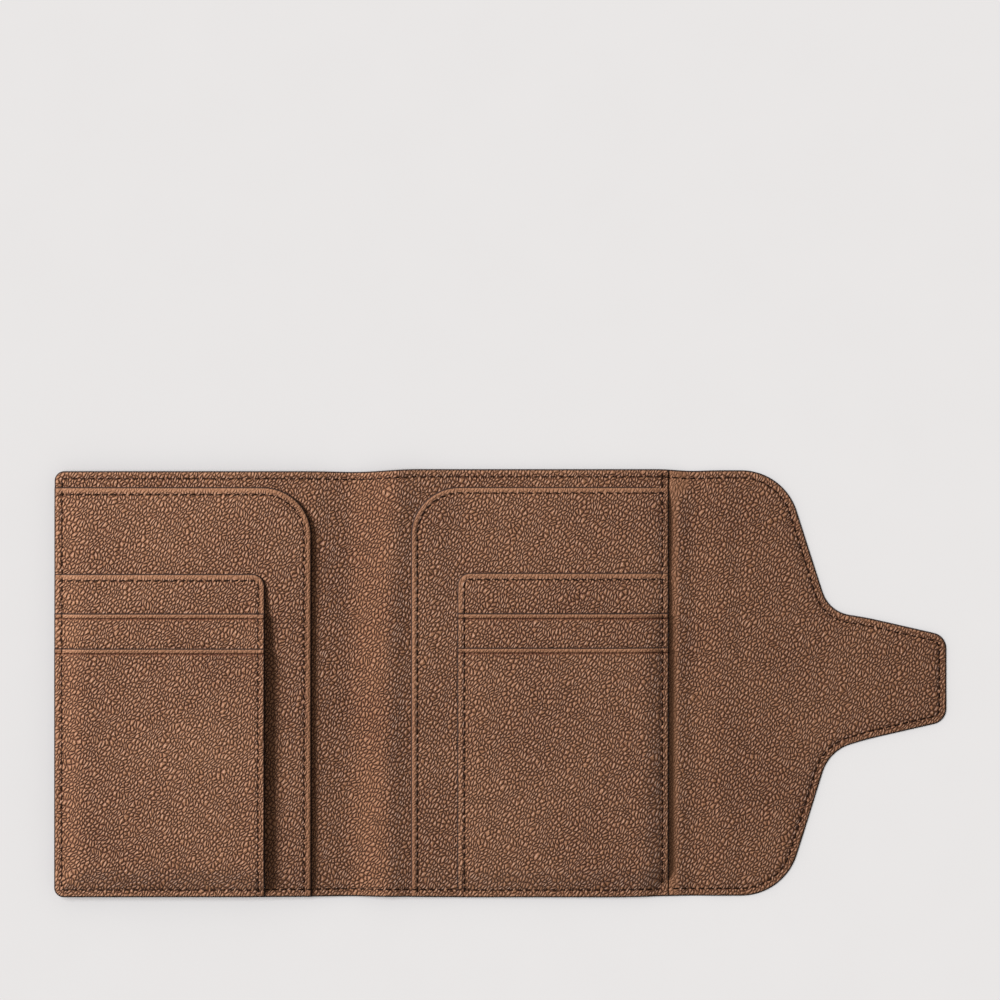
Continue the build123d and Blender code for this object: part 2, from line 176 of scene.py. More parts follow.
def arcs(corners):
    """Points along each rounded corner of a polygon: for each corner an arc that starts and
    ends where the circle of its radius touches the two sides."""
    points = np.array([corner[:2] for corner in corners], float)
    before, after = np.roll(points, 1, axis=0) - points, np.roll(points, -1, axis=0) - points
    result = []
    for point, a, b, (_, _, radius) in zip(points, before, after, corners):
        if radius == 0:
            result.append(point[None])
            continue
        a, b = a / np.hypot(*a), b / np.hypot(*b)
        half = math.acos(np.clip(a @ b, -1, 1)) / 2
        centre = point + (a + b) / np.hypot(*(a + b)) * radius / math.sin(half)
        foot = radius / math.tan(half)
        start, end = point + a * foot - centre, point + b * foot - centre
        t = np.linspace(0, 1, ARC_STEPS)[:, None]
        turn = math.pi - 2 * half
        result.append(centre + (np.sin((1 - t) * turn) * start + np.sin(t * turn) * end) / math.sin(turn))
    return result


def closed_line(groups):
    """One line through the points of all the groups and back to the first."""
    return np.concatenate([*groups, groups[0][:1]])


EDGE_RADIUS = 3.2
SHOULDER_AT, SHOULDER_RADIUS = 20.8, 19.5
ROOT_AT, ROOT_HALF, ROOT_RADIUS = 35.9, 23.3, 12.5
TIP_HALF, TIP_RADIUS = 14.3, 5.3
flap_upper = [
    (FLAP_CREASE + SHOULDER_AT, TOP, SHOULDER_RADIUS),
    (FLAP_CREASE + ROOT_AT, ROOT_HALF, ROOT_RADIUS),
    (TIP, TIP_HALF, TIP_RADIUS),
]
flap_lower = [(x, -y, radius) for x, y, radius in reversed(flap_upper)]
cover_corners = [(LEFT, TOP, EDGE_RADIUS), *flap_upper, *flap_lower, (LEFT, BOTTOM, EDGE_RADIUS)]
cover_arcs = arcs(cover_corners)
cover_line = closed_line(cover_arcs)
upper_side = cover_arcs[:4]
lower_side = [*cover_arcs[4:7][::-1], cover_arcs[7]]
print("outline", len(cover_line), "points")

# %% [markdown]
# ## Distance from an edge
#
# The distance of a point from an outline drives everything that follows an edge: how far it
# is rounded, the pressed seam margin, the groove of the seam and the dark edge paint. Blender
# can find distances between meshes as well, but the outlines are lines of a few hundred
# points, so numpy does a whole grid at once and the result can go into the height formulas.

# %% Distances and edge profiles
def distance(x, y, line):
    """Distance of each grid point from a polyline: the least over its straight stretches."""
    a, d = line[:-1], np.diff(line, axis=0)
    keep = (d ** 2).sum(1) > 1e-12
    a, d = a[keep], d[keep]
    points = np.stack([x.ravel(), y.ravel()], 1)
    best = np.full(len(points), np.inf)
    for start, run in zip(a, d):
        along = np.clip(((points - start) @ run) / (run @ run), 0, 1)
        best = np.minimum(best, np.hypot(*(points - start - along[:, None] * run).T))
    return best.reshape(x.shape)


def roundover(d, radius, depth):
    """How far a rim falls: a quarter ellipse, depth deep at the edge and level at radius."""
    return depth * (1 - np.sqrt(np.clip(1 - (1 - np.clip(d / radius, 0, 1)) ** 2, 0, 1)))


def furrow(d, place, depth, width):
    """A groove along an edge: a bell curve round its place."""
    return depth * np.exp(-((d - place) / width) ** 2)


def pressed(d, level, margin=0.78, reach=9.0):
    """Level of a layer near a sewn edge: a share margin of itself until 1.2 mm from the rim,
    and smoothly the whole of it after reach more."""
    return level * (margin + (1 - margin) * smooth((d - 1.2) / reach))


origin = np.zeros((1, 1))
print("the origin lies", round(float(distance(origin, origin, cover_line)[0, 0]), 2), "mm from the edge")

# %% [markdown]
# ## Grids for leather slabs
#
# Each piece is a grid of stations along X and rows along Y, close together near its edges and
# wide apart in the middle. Subdividing a plain box would give the same count of faces, but
# not the fine rows that the rounded rim and the seam need.

# %% Grids
NEAR = np.array([  # distances from a real edge at which a row of points lies
    0, .06, .15, .28, .45, .7, 1.0, 1.3, 1.6, 1.9, 2.2, 2.5, 2.8, 3.2, 3.7, 4.4, 5.4, 6.8, 8.6])


def stations(start, end, pitch, fine_start=True, fine_end=True):
    """Places from start to end, about pitch apart, and as close as NEAR at a real edge."""
    near = NEAR[NEAR < (end - start) * 0.45]
    first = start + near if fine_start else np.array([start])
    last = end - near[::-1] if fine_end else np.array([end])
    count = max(2, math.ceil((last[0] - first[-1]) / pitch) + 1)
    return np.concatenate([first[:-1], np.linspace(first[-1], last[0], count), last[1:]])


def chain(groups, x):
    """y of an outline's upper or lower side at each x."""
    points = np.concatenate(groups)
    points = points[np.argsort(points[:, 0], kind="stable")]
    return np.interp(x, points[:, 0], points[:, 1])


def plan_grid(xs, lower, upper, pitch):
    """Grid of x and y over a piece. Rows keep NEAR's distances square to a slanting edge."""
    low, high = chain(lower, xs), chain(upper, xs)
    height = high - low
    lean = [np.sqrt(1 + np.gradient(side, xs) ** 2) for side in (low, high)]
    lean = [np.minimum(np.minimum(side, 3.4), 0.45 * height / NEAR[-1]) for side in lean]
    count = max(3, math.ceil((height.max() - 2 * NEAR[-1]) / pitch))
    share = np.linspace(0, 1, count + 1)[1:-1]
    first = low[:, None] + NEAR * lean[0][:, None]
    last = high[:, None] - NEAR[::-1] * lean[1][:, None]
    middle = first[:, -1:] + (last[:, :1] - first[:, -1:]) * share
    y = np.concatenate([first, middle, last], 1)
    return np.repeat(xs[:, None], y.shape[1], 1), y


print("rows beside an edge", len(NEAR), "the widest", NEAR[-1], "mm in")

# %% [markdown]
# ## Meshes
#
# A hand-made organizer never lies quite square, so all pieces take one small shift together
# just before they become meshes. A mesh is filled with from_pydata, and foreach_set writes
# the numbers that the materials read: the UV map "Hide" and the distances from edges. One
# object per part would also carry a transform, but here the place is in the mesh.

# %% From points to a mesh object
def settle(points):
    """Where the hand-made piece lies: its panels differ by a few tenths from the pattern, and
    the tongue points 1.5 mm upwards. Every piece takes the same shift, so none parts."""
    x, y, z = points.T
    share = (y / TOP + 1) / 2
    upper = rises(x, -0.33, [
        (FRONT_CREASE - 12, FRONT_CREASE + 4, -0.25), (FRONT_CREASE + 4, BACK_CREASE + 12, 0.94),
        (LINING_STEP - 4, LINING_STEP + 8, -0.56), (LINING_STEP + 8, FLAP_CREASE, 0.20)])
    lower = rises(x, 0.55, [
        (BACK_CREASE, BACK_CREASE + 30, -0.35), (LINING_STEP - 20, LINING_STEP + 5, 0.40)])
    skew = 1.5 * smooth((x - FLAP_CREASE - 26) / 26)
    return np.stack([x, y + upper * share + lower * (1 - share) + skew, z], 1)


def new_mesh(name, vertices, faces, uv=None, **readings):
    """A mesh object from points in millimetres, with smooth faces, a UV map and readings."""
    mesh = bpy.data.meshes.new(name)
    mesh.from_pydata((settle(vertices) * MM).tolist(), [], faces)
    mesh.shade_smooth()
    mesh.set_sharp_from_angle(angle=math.radians(55))
    if uv is not None:
        corner = np.zeros(len(mesh.loops), np.int32)
        mesh.loops.foreach_get("vertex_index", corner)
        hide = mesh.uv_layers.new(name="Hide")
        hide.data.foreach_set("uv", uv[corner].astype(np.float32).ravel())
    for key, values in readings.items():
        attribute = mesh.attributes.new(key, "FLOAT", "POINT")
        attribute.data.foreach_set("value", values.astype(np.float32))
    piece = bpy.data.objects.new(name, mesh)
    bpy.context.scene.collection.objects.link(piece)
    return piece


tips = settle(np.array([[TIP, 0.0, 0.0], [LEFT, 0.0, 0.0]]))[:, 1]
print("the tongue lies", round(float(tips[0]), 2), "mm up, the left edge", round(float(tips[1]), 2))

# %% [markdown]
# ## Slabs
#
# The grid carries a top and a bottom surface that are joined round the rim, so each piece is
# one closed body of real thickness. Solidify would give an even wall, but pressed leather is
# thinner at its seams, so both surfaces are worked out.

# %% Closed slabs
UV_SPAN = 100.0  # millimetres of hide to one unit of the UV map
FAR = 50.0       # a distance that is further away than any crease or paint


def slab(name, x, y, top, bottom, edge, calm=None, lip=None, cut=(0, 0)):
    """A closed piece: the grid's top and bottom surfaces and the wall round them.

    edge is the distance from the painted rim, calm is 1 where the grain is pressed smooth,
    lip is the distance from a slot's mouth, along which a hot tool draws a crease, and cut is
    where on the hide the piece was cut, so that no two pieces match."""
    rows, columns = x.shape
    below = rows * columns
    index = np.arange(below).reshape(rows, columns)
    quads = np.stack([index[:-1, :-1], index[1:, :-1], index[1:, 1:], index[:-1, 1:]], -1)
    quads = quads.reshape(-1, 4)
    rim = np.concatenate([index[:-1, 0], index[-1, :-1], index[:0:-1, -1], index[0, :0:-1]])
    following = np.roll(rim, -1)
    wall = np.stack([rim, rim + below, following + below, following], -1)
    faces = np.concatenate([quads, quads[:, ::-1] + below, wall])
    vertices = np.concatenate([
        np.stack([x.ravel(), y.ravel(), height.ravel()], 1) for height in (top, bottom)])
    uv = (vertices[:, :2] + np.array(cut)) / UV_SPAN
    calm = np.zeros_like(x) if calm is None else calm
    lip = np.full_like(x, FAR) if lip is None else lip
    readings = {"edge": edge, "calm": calm, "lip": lip}
    return new_mesh(
        name, vertices, faces.tolist(), uv,
        **{key: np.tile(values.ravel(), 2) for key, values in readings.items()})


print("one UV unit is", UV_SPAN, "mm of hide")

# %% [markdown]
# ## Wires: shader arithmetic in Python
#
# Node trees are written here as formulas. A Wire wraps one socket, and each arithmetic sign
# between two wires, or a wire and a number, adds a Math node. Every other node comes from one
# method. This reads better than dozens of node and link calls, and the order of the formula
# is the order of the tree.

# %% The Wire class
class Wire:
    """A socket of a node tree that takes part in Python arithmetic."""

    def __init__(self, tree, socket):
        self.tree, self.socket = tree, socket

    def node(self, kind, settings=(), output=0, **values):
        """Any node in this wire's tree, with values or wires for its inputs in0, in1 and so on."""
        return add_node(self.tree, kind, settings, output, **values)

    def output(self, which):
        """Another output of the node that this wire comes from."""
        return Wire(self.tree, self.socket.node.outputs[which])

    def math(self, operation, *others, first=None):
        """A Math node on this wire and the others, or on first and this wire."""
        values = (self, *others) if first is None else (first, self)
        inputs = {f"in{number}": value for number, value in enumerate(values)}
        return self.node("ShaderNodeMath", {"operation": operation}, **inputs)

    def vector(self, operation, **values):
        """A Vector Math node with this wire as its first input."""
        return self.node("ShaderNodeVectorMath", {"operation": operation}, in0=self, **values)

    def step(self, start, end):
        """0 below start and 1 above end, with a smooth rise between them."""
        settings = {"interpolation_type": "SMOOTHSTEP"}
        return self.node("ShaderNodeMapRange", settings, in0=self, in1=start, in2=end, in3=0.0, in4=1.0)

    def blend(self, low, high):
        """Colour low where this wire is 0 and colour high where it is 1."""
        return self.node("ShaderNodeMix", {"data_type": "RGBA"}, 2, in0=self, in6=low, in7=high)

    def __add__(self, other):
        return self.math("ADD", other)

    def __sub__(self, other):
        return self.math("SUBTRACT", other)

    def __mul__(self, other):
        return self.math("MULTIPLY", other)

    def __truediv__(self, other):
        return self.math("DIVIDE", other)

    def __pow__(self, other):
        return self.math("POWER", other)

    def __rsub__(self, other):
        return self.math("SUBTRACT", first=other)

    def __rtruediv__(self, other):
        return self.math("DIVIDE", first=other)

    def __rpow__(self, other):
        return self.math("POWER", first=other)

    __radd__, __rmul__ = __add__, __mul__


print("signs a wire knows:", [sign for sign in ("add", "sub", "mul", "truediv", "pow")
                              if hasattr(Wire, f"__{sign}__") and hasattr(Wire, f"__r{sign}__")])

# %% [markdown]
# ## Adding a node
#
# Every node of every material passes through one function. A node's settings can change which
# sockets it shows, so they are set first and the sockets after them. A value that is a Wire
# becomes a link, and anything else becomes the socket's own number or colour. Inputs are
# counted with the hidden ones: a Mix node keeps its numbers, vectors and colours in one list.

# %% Nodes and sockets
def add_node(tree, kind, settings=(), output=0, **values):
    """Adds a node. Settings are set first, then each input, named inN by its number."""
    node = tree.nodes.new(kind)
    for key, value in dict(settings).items():
        setattr(node, key, value)
    for key, value in values.items():
        set_socket(tree, node.inputs[int(key[2:])], value)
    return Wire(tree, node.outputs[output])


def set_socket(tree, socket, value):
    """Links a wire to a socket, or sets a plain value on it."""
    if isinstance(value, Wire):
        tree.links.new(value.socket, socket)
    else:
        socket.default_value = value


trial = bpy.data.node_groups.new("trial", "ShaderNodeTree")
mix = add_node(trial, "ShaderNodeMix", {"data_type": "RGBA"}, 2).socket.node
print("a Mix node's colours are inputs", [i for i, item in enumerate(mix.inputs) if item.type == "RGBA"])
bpy.data.node_groups.remove(trial)

# %% [markdown]
# ## A blank material
#
# Each finish starts from the same blank: a material with one Principled shader. It could be
# set up by hand in the Shader Editor, but a function says the same in one line. Colours are
# written as they look on a screen and turned into the linear values that the shader needs.
# What is the same all over a finish is set on the shader's own socket, and only what changes
# over the surface is linked.

# %% Material helpers
def new_material(name):
    """An empty material, its node tree and its Principled shader."""
    material = bpy.data.materials.new(name)
    material.use_nodes = True
    return material, material.node_tree, material.node_tree.nodes["Principled BSDF"]


def feed(tree, shader, **sockets):
    """Links wires to the shader's sockets, or sets plain values on them."""
    for key, value in sockets.items():
        set_socket(tree, shader.inputs[key.replace("_", " ")], value)


def colour(red, green, blue):
    """A colour given in 8 bit display values, as the linear values that a shader takes:
    c / 12.92 where c is at most 0.04045, and ((c + 0.055) / 1.055)^2.4 above that."""
    values = np.array([red, green, blue]) / 255
    linear = np.where(values <= 0.04045, values / 12.92, ((values + 0.055) / 1.055) ** 2.4)
    return (*linear.tolist(), 1.0)


def hide_position(tree):
    """The place on the hide, in millimetres."""
    return add_node(tree, "ShaderNodeUVMap", {"uv_map": "Hide"}).vector("SCALE", in3=UV_SPAN)


def reading(tree, name):
    """A number that the mesh carries at each point."""
    return add_node(tree, "ShaderNodeAttribute", {"attribute_name": name}, 2)


def noise(place, scale, detail, output=0):
    """Soft noise over the hide: its value, or with output 1 its colour."""
    settings = {"noise_dimensions": "2D"}
    return place.node("ShaderNodeTexNoise", settings, output, in0=place, in2=scale, in3=detail)


def bumped(pattern, strength, height):
    """A pattern's heights as a change of the surface's normal."""
    return pattern.node("ShaderNodeBump", {}, in0=strength, in1=height, in3=pattern)


print("mid grey is", round(colour(128, 128, 128)[0], 3), "as light")

# %% [markdown]
# ## Pebbled leather
#
# The hide has a tumbled grain: plump pebbles about a millimetre across, drawn out along one
# direction, with fine creases between them, which are painted darker as painted shade. A
# Voronoi pattern gives such cells. Its distance to the cell's edge makes each pebble a small
# dome, a warp by noise bends the creases, and a second, finer noise stops the domes from
# looking cast. Real geometry for each pebble would take millions of faces, so their height is
# a bump. The pattern is laid on the piece's own UV map, which is the hide before it was
# folded, so it bends with a crease.

# %% The leather materials
PEBBLE = 1.03        # width of a pebble in millimetres
STRETCH = 1.6        # length of a pebble in widths
SLANT = math.radians(-58)
RELIEF = 0.74        # height of a pebble over its creases, in millimetres
WARP, WARP_SCALE = 2.6, 0.16      # how far the creases are bent, and how often to a millimetre
SLOT_CREASE = 1.95                # how far below a slot's mouth its heat crease is drawn
EDGE_PAINT = colour(44, 22, 12)
PAINT_START, PAINT_END = 0.28, 0.66


def pebbles(place):
    """How deep each point lies between the pebbles: 0 on a pebble's back and 1 in a crease."""
    drift = noise(place, WARP_SCALE, 1.0, output=1)
    drift = drift.vector("SUBTRACT", in1=(0.5, 0.5, 0.5)).vector("SCALE", in3=WARP)
    bent = place.vector("ADD", in1=drift)
    turned = bent.node("ShaderNodeVectorRotate", {"rotation_type": "Z_AXIS"}, in0=bent, in3=SLANT)
    scaled = turned.vector("MULTIPLY", in1=(1 / PEBBLE / STRETCH, 1 / PEBBLE, 0))
    cells = {"voronoi_dimensions": "2D", "feature": "DISTANCE_TO_EDGE"}
    gap = scaled.node("ShaderNodeTexVoronoi", cells, in0=scaled, in2=1.0, in8=0.68)
    return 1.0 - (gap / 0.5).math("MINIMUM", 1.0)


def leather(name, light, dark):
    """Grained leather with its creases, pressed seams, edge paint and slow changes of tone.

    A pebble's height is 1 - hollow^2, and hollow^2.5 paints its crease darker as painted shade.
    Both fade where the leather is pressed calm and towards an edge. The heat crease below a
    slot's mouth is painted darker too, as painted shade of its groove."""
    material, tree, shader = new_material(name)
    place = hide_position(tree)
    hollow, fine, tone = pebbles(place), noise(place, 2.4, 2.0), noise(place, 0.03, 3.0)
    edge, calm, lip = (reading(tree, key) for key in ("edge", "calm", "lip"))
    dome = 1.0 - hollow * hollow
    crease = 1.0 - (lip - SLOT_CREASE).math("ABSOLUTE").step(0.05, 0.42)
    free = (1.0 - calm * 0.65) * (edge.step(0.2, 2.0) * 0.5 + 0.5)
    relief = (dome + (fine - 0.5) * 0.40) * free - crease * 0.35
    # Painted shade: hollow ** 2.5 darkens the grain's creases. tone and fine are the hide's own random
    # tone.
    tone_and_painted_shade = hollow ** 2.5 * free * 0.74 + (tone - 0.5) * 0.30 + (fine - 0.5) * 0.15
    # crease * 0.4 paints the heat crease darker, as painted shade of its groove.
    tone_and_painted_shade = tone_and_painted_shade + calm * 0.16 + crease * 0.4
    paint = 1.0 - edge.step(PAINT_START, PAINT_END)
    tint = paint.blend(tone_and_painted_shade.step(-0.12, 0.95).blend(light, dark), EDGE_PAINT)
    rough = 0.37 + (1.0 - dome * free) * 0.45 + (fine - 0.5) * 0.10 + paint * 0.10
    feed(tree, shader, Base_Color=tint, Roughness=rough, Normal=bumped(relief, 1.0, RELIEF * MM),
         Specular_IOR_Level=0.42)
    return material


# The dark colour is what the hide's random tone and the painted shade in its creases blend towards.
light_hide, dark_tone_and_painted_shade = colour(157, 111, 80), colour(74, 25, 2)
outer_leather = leather("outer_hide", light_hide, dark_tone_and_painted_shade)
inner_leather = leather("inner_hide", light_hide, dark_tone_and_painted_shade)
pocket_leather = leather("pocket_hide", colour(160, 114, 83), dark_tone_and_painted_shade)
print("one leather takes", len(outer_leather.node_tree.nodes), "nodes")

# %% [markdown]
# ## Thread, cloth and board
#
# The seams are waxed thread, twisted from plies. The passport pockets and the upper slots are
# backed with thin woven cloth, and the panels are stiffened with bonded leather board, which
# is pressed fibre. All three are seen little, so each is one pattern that gives both a tint
# and a fine bump: a sine along the stitch, two crossed sines, and noise.

# %% Thread, cloth and board
THREAD_TURNS = 2.5    # turns of the twist in one stitch
WEAVE = 9             # phase of the weave's sine to a millimetre
TWIST_HEIGHT, WEAVE_HEIGHT, FIBRE_HEIGHT = 0.06 * MM, 0.05 * MM, 0.1 * MM


def thread_material():
    """Waxed sewing thread: a dark brown ply that twists along each stitch."""
    material, tree, shader = new_material("sewing_thread")
    twist = (reading(tree, "along") * (2 * math.pi * THREAD_TURNS)).math("SINE")
    tint = (twist * 0.5 + 0.5).blend(colour(30, 15, 9), colour(46, 26, 16))
    bump = bumped(twist, 0.5, TWIST_HEIGHT)
    feed(tree, shader, Base_Color=tint, Roughness=0.6, Normal=bump, Specular_IOR_Level=0.1)
    return material


def cloth_material():
    """Thin lining cloth: a plain weave of two crossed sine waves."""
    material, tree, shader = new_material("backing_cloth")
    place = hide_position(tree)
    along = place.node("ShaderNodeSeparateXYZ", in0=place)
    weave = (along * WEAVE).math("SINE") * (along.output(1) * WEAVE).math("SINE")
    tint = weave.step(-1.0, 1.0).blend(colour(70, 48, 35), colour(94, 66, 49))
    feed(tree, shader, Base_Color=tint, Roughness=0.85, Normal=bumped(weave, 0.5, WEAVE_HEIGHT))
    return material


def board_material():
    """Bonded leather board: pressed fibres in two browns."""
    material, tree, shader = new_material("fibre_board")
    fibre = noise(hide_position(tree), 1.4, 4.0)
    tint = fibre.step(0.3, 0.7).blend(colour(120, 88, 62), colour(160, 124, 92))
    feed(tree, shader, Base_Color=tint, Roughness=0.9, Normal=bumped(fibre, 0.4, FIBRE_HEIGHT))
    return material


thread, cloth, fibre_board = thread_material(), cloth_material(), board_material()
print("finishes", [material.name for material in (
    outer_leather, inner_leather, pocket_leather, thread, cloth, fibre_board)])

# %% [markdown]
# ## Finishing a piece
#
# Each finished piece stands for one or more parts of the CAD model. A pocket is attached to
# its panel's body. A skin that crosses a crease is attached to no body, and its place is baked
# into its mesh. The CAD parts that it replaces are then hidden.

# %% Finish and body
def finish_piece(piece, material, nodes=(), body=None, bends=None):
    """Gives a piece its material, hides the CAD nodes it stands for and attaches it to its body.
    With bends instead of a body, its place is baked into its mesh; the two bodies and the two
    places in bends are not used."""
    piece.data.materials.append(material)
    if nodes:
        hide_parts(*nodes)
    if body:
        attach(piece, body)
    else:
        first, second, start, end = bends
        start * MM
        end * MM
        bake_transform(piece)
    return piece


print("CAD parts to stand for:", len(frame["nodes"]))

# %% [markdown]
# ## Where the pockets lie
#
# Both panels carry the same set of pocket layers, mirrored. Their outlines come first, because
# the lining below them already shows a dent along each pocket's mouth: the turned edge of a
# pocket is pressed down on it.

# %% Places of one panel's pockets
# For each panel: its body, the x of the edge the pockets are sewn into and the way inwards,
# the share of its full height that the pressed stack keeps, how far the stack's open side
# gapes, the place of the pocket's seam, how far its layers stop short of the CAD's inner side
# (less than 0: reach past it), where on the hide they were cut, and how far each layer's
# painted rim stands out at its mouth.
panels = {
    "front": dict(
        body="front_panel", outer=LEFT, sign=1, thin=0.85, gape=1.2, seam=2.7, short=0.15,
        cut=(60, 150), ease=dict(pocket=1.2, card=0.9, upper=0.4, slot=0.5)),
    "back": dict(
        body="back_panel", outer=LINING_STEP, sign=-1, thin=0.55, gape=0.10, seam=2.2, short=-0.2,
        cut=(222, 0), ease=dict(pocket=0.65, card=0.8, upper=0.05, slot=0.4)),
}
LAYERS = {"pocket": "passport_pocket", "card": "card_panel", "upper": "upper_slot", "slot": "front_slot"}
RADII = {"pocket": 16.2, "card": 4.3, "upper": 0, "slot": 0}
DENT, DENT_REACH = 0.26, 1.0


def layer_outline(panel, node, radius, ease):
    """Where one layer of a pocket set ends: its inner side and its upper edge, as a line that
    runs from the outer edge along the mouth, round the corner and down to the bottom. ease is
    how far its turned and painted rim stands out."""
    low, high = span(node)
    inner = high[0] - panel["short"] if panel["sign"] > 0 else low[0] + panel["short"]
    mouth = high[1] + ease
    corner = arcs([(panel["outer"], mouth, 0), (inner, mouth, radius), (inner, BOTTOM, 0)])[1]
    ends = np.array([[panel["outer"], mouth], [inner, BOTTOM]])
    return dict(inner=inner, mouth=mouth, line=np.concatenate([ends[:1], corner, ends[1:]]), arc=corner)


for side, panel in panels.items():
    panel["outlines"] = {
        key: layer_outline(panel, f"{side}_{node}", RADII[key], panel["ease"][key])
        for key, node in LAYERS.items()}
    print(side, "mouths", {key: round(float(o["mouth"]), 2) for key, o in panel["outlines"].items()})


def dent(panel, key, x, y):
    """How far the mouth of a layer presses into the layer below: a bell curve above the mouth
    that fades at the layer's open side."""
    outline = panel["outlines"][key]
    across = smooth(panel["sign"] * (outline["inner"] - x) / 2.5)
    above = np.clip(y - outline["mouth"], 0, None)
    return DENT * np.exp(-(above / DENT_REACH) ** 2) * across


# %% [markdown]
# ## Cutting skins at the creases
#
# One skin of leather wraps the outside and one lines the inside. Both bend at the creases of
# the spine and of the gusset. A skin that crosses two creases is cut halfway between them,
# where it stays flat.

# %% Zones between the cuts
zones = {  # for each zone: its start, its end, and its two bodies with the places of the bend
    "front": (LEFT, MID_SPINE, ("front_panel", "spine", 2 * FRONT_CREASE - MID_SPINE, MID_SPINE)),
    "back": (MID_SPINE, LINING_STEP - 6,
             ("spine", "back_panel", MID_SPINE, 2 * BACK_CREASE - MID_SPINE)),
    "gusset": (LINING_STEP - 6, MID_GUSSET, ("back_panel", "gusset", LINING_STEP, MID_GUSSET)),
    "flap": (MID_GUSSET, TIP, ("gusset", "flap", MID_GUSSET, 2 * FLAP_CREASE - MID_GUSSET)),
}


def zone_stations(start, end, pitch=2.4):
    """Stations along a zone, closer together round each crease and along the flap's curves."""
    xs = stations(start, end, pitch, fine_start=start == LEFT, fine_end=end == TIP)
    near = [np.arange(place - 8, place + 8.01, 0.8) for place in CREASES]
    if start < FLAP_CREASE < end:
        near.append(FLAP_CREASE + np.arange(SHOULDER_AT - 16, ROOT_AT + 12, 1.0))
    extra = np.concatenate(near)
    xs = np.concatenate([xs, extra[(extra > start + 0.3) & (extra < end - 0.3)]])
    xs = np.unique(np.round(xs, 4))
    return xs[np.concatenate([[True], np.diff(xs) > 0.04])]


print("stations", {zone: len(zone_stations(start, end)) for zone, (start, end, _) in zones.items()})

# %% [markdown]
# ## The outer cover
#
# The cover is 0.9 mm leather with a painted edge, and it lies face down. A cloth simulation
# would let it sag as well, but the layers on it could not share its shape. So its outer face
# is the ground itself, with a rounded rim and a groove where the seam pulls it in. Its inner
# face is never seen alone, but it is what the linings and boards lie on.

# %% Cover skins
EDGE_SEAM = 2.55  # how far inside the painted edge the seam runs
cover_nodes = {
    "front": ["cover_front", "cover_spine"], "back": ["cover_back"],
    "gusset": ["cover_gusset"], "flap": ["cover_flap"],
}


def cover_bottom(x, y, d):
    """The outer face: rounded at the painted edge, with a furrow under the seam."""
    return ground(x, y) + roundover(d, 0.6, 0.32) + furrow(d, EDGE_SEAM, 0.10, 0.5)


for zone, (start, end, bends) in zones.items():
    x, y = plan_grid(zone_stations(start, end), lower_side, upper_side, 3.2)
    d = distance(x, y, cover_line)
    top = ground(x, y) + pressed(d, COVER) - roundover(d, 0.35, 0.25)
    piece = slab(f"cover_{zone}_skin", x, y, top, cover_bottom(x, y, d), d, cut=(400, 37))
    finish_piece(piece, outer_leather, cover_nodes[zone], bends=bends)
    print(piece.name, len(piece.data.polygons), "faces")

# %% [markdown]
# ## Heights of the linings
#
# A thin leather lines the inside. It ends just before the gusset in a turned edge, and the
# flap's own lining comes out from under it there, a little plump beside the step. At the rim
# cover and lining are pressed together and painted as one, and further in a board or a core
# lies between them. A Solidify modifier would fill that room with leather, so each lining has
# a formula for its top and one for its underside.

# %% Lining surfaces
LAP = 4.7         # how far the flap's lining reaches under the turned edge
LAP_SEAM = 2.3    # how far inside the turned edge its seam runs
SEAM_DEPTH = 0.20
GAP = 0.03        # left between two layers, so that they never touch


def lining_top(x, y, d):
    """Top of the lining of front panel, spine and back panel."""
    level = pressed(d, sandwich(x))
    fall = roundover(d, 0.9, 0.6) + furrow(d, EDGE_SEAM, SEAM_DEPTH, 0.55)
    fall = fall + dent(panels["front"], "pocket", x, y) + dent(panels["back"], "pocket", x, y)
    return ground(x, y) + level - fall


def flap_lining_top(x, y, d):
    """Top of the flap's lining, from the lap to the tongue."""
    level = pressed(d, flap_sandwich(x), 0.84, 5.0)
    beside = x - LINING_STEP
    plump = 0.45 * smooth((beside - 0.15) / 0.35) * (1 - smooth((beside - 1.5) / 7))
    return ground(x, y) + level + plump - roundover(d, 0.9, 0.5) - furrow(d, EDGE_SEAM, 0.18, 0.55)


def lining_bottom(x, y, d, filling):
    """Underside of a lining: on the cover at the margin, and over its filling further in."""
    return ground(x, y) + pressed(d, COVER) + 0.02 + smooth((d - 3.7) / 0.4) * filling


def lining_surface(x, y):
    """Top of the lining where only its place is known."""
    return lining_top(x, y, distance(x, y, cover_line))


print("lining at the origin", round(float(lining_surface(origin, origin)[0, 0]), 2), "mm")

# %% [markdown]
# ## The lining of the panels and the spine
#
# It is cut in the middle of the spine, like the cover. Near its turned edge its underside
# rests on the flap's lining, which starts there. The grid gets close rows at that edge,
# because its rounded rim is the bright line that shows where the lining ends.

# %% Lining skins
LINING = 0.75    # thickness of the lining over its board or tape
LEAST = 0.25     # and it is nowhere thinner than this

for name, (start, end), bends, nodes in (
    ("lining_front_skin", (LEFT, MID_SPINE), zones["front"][2], ["lining_front", "lining_spine"]),
    ("lining_back_skin", (MID_SPINE, LINING_STEP), zones["back"][2], ["lining_back"]),
):
    xs = zone_stations(start, end)
    if end == LINING_STEP:
        xs = np.unique(np.concatenate([xs[xs < end - 9], end - NEAR]))
    x, y = plan_grid(xs, lower_side, upper_side, 2.6)
    d = distance(x, y, cover_line)
    step = np.abs(LINING_STEP - x)
    top = lining_top(x, y, d) - roundover(step, 0.5, 0.5) - furrow(step, LAP_SEAM, 0.16, 0.5)
    bottom = lining_bottom(x, y, d, np.clip(sandwich(x) - COVER - LINING, 0, None))
    if end == LINING_STEP:
        lap = smooth((x - (LINING_STEP - LAP - 0.3)) / 0.3)
        bottom = bottom * (1 - lap) + (flap_lining_top(x, y, d) + GAP) * lap
    bottom = np.minimum(bottom, top - LEAST)
    piece = slab(name, x, y, top, bottom, np.minimum(d, step + 0.1), cut=(0, 0))
    finish_piece(piece, inner_leather, nodes, bends=bends)
    print(name, len(piece.data.polygons), "faces")

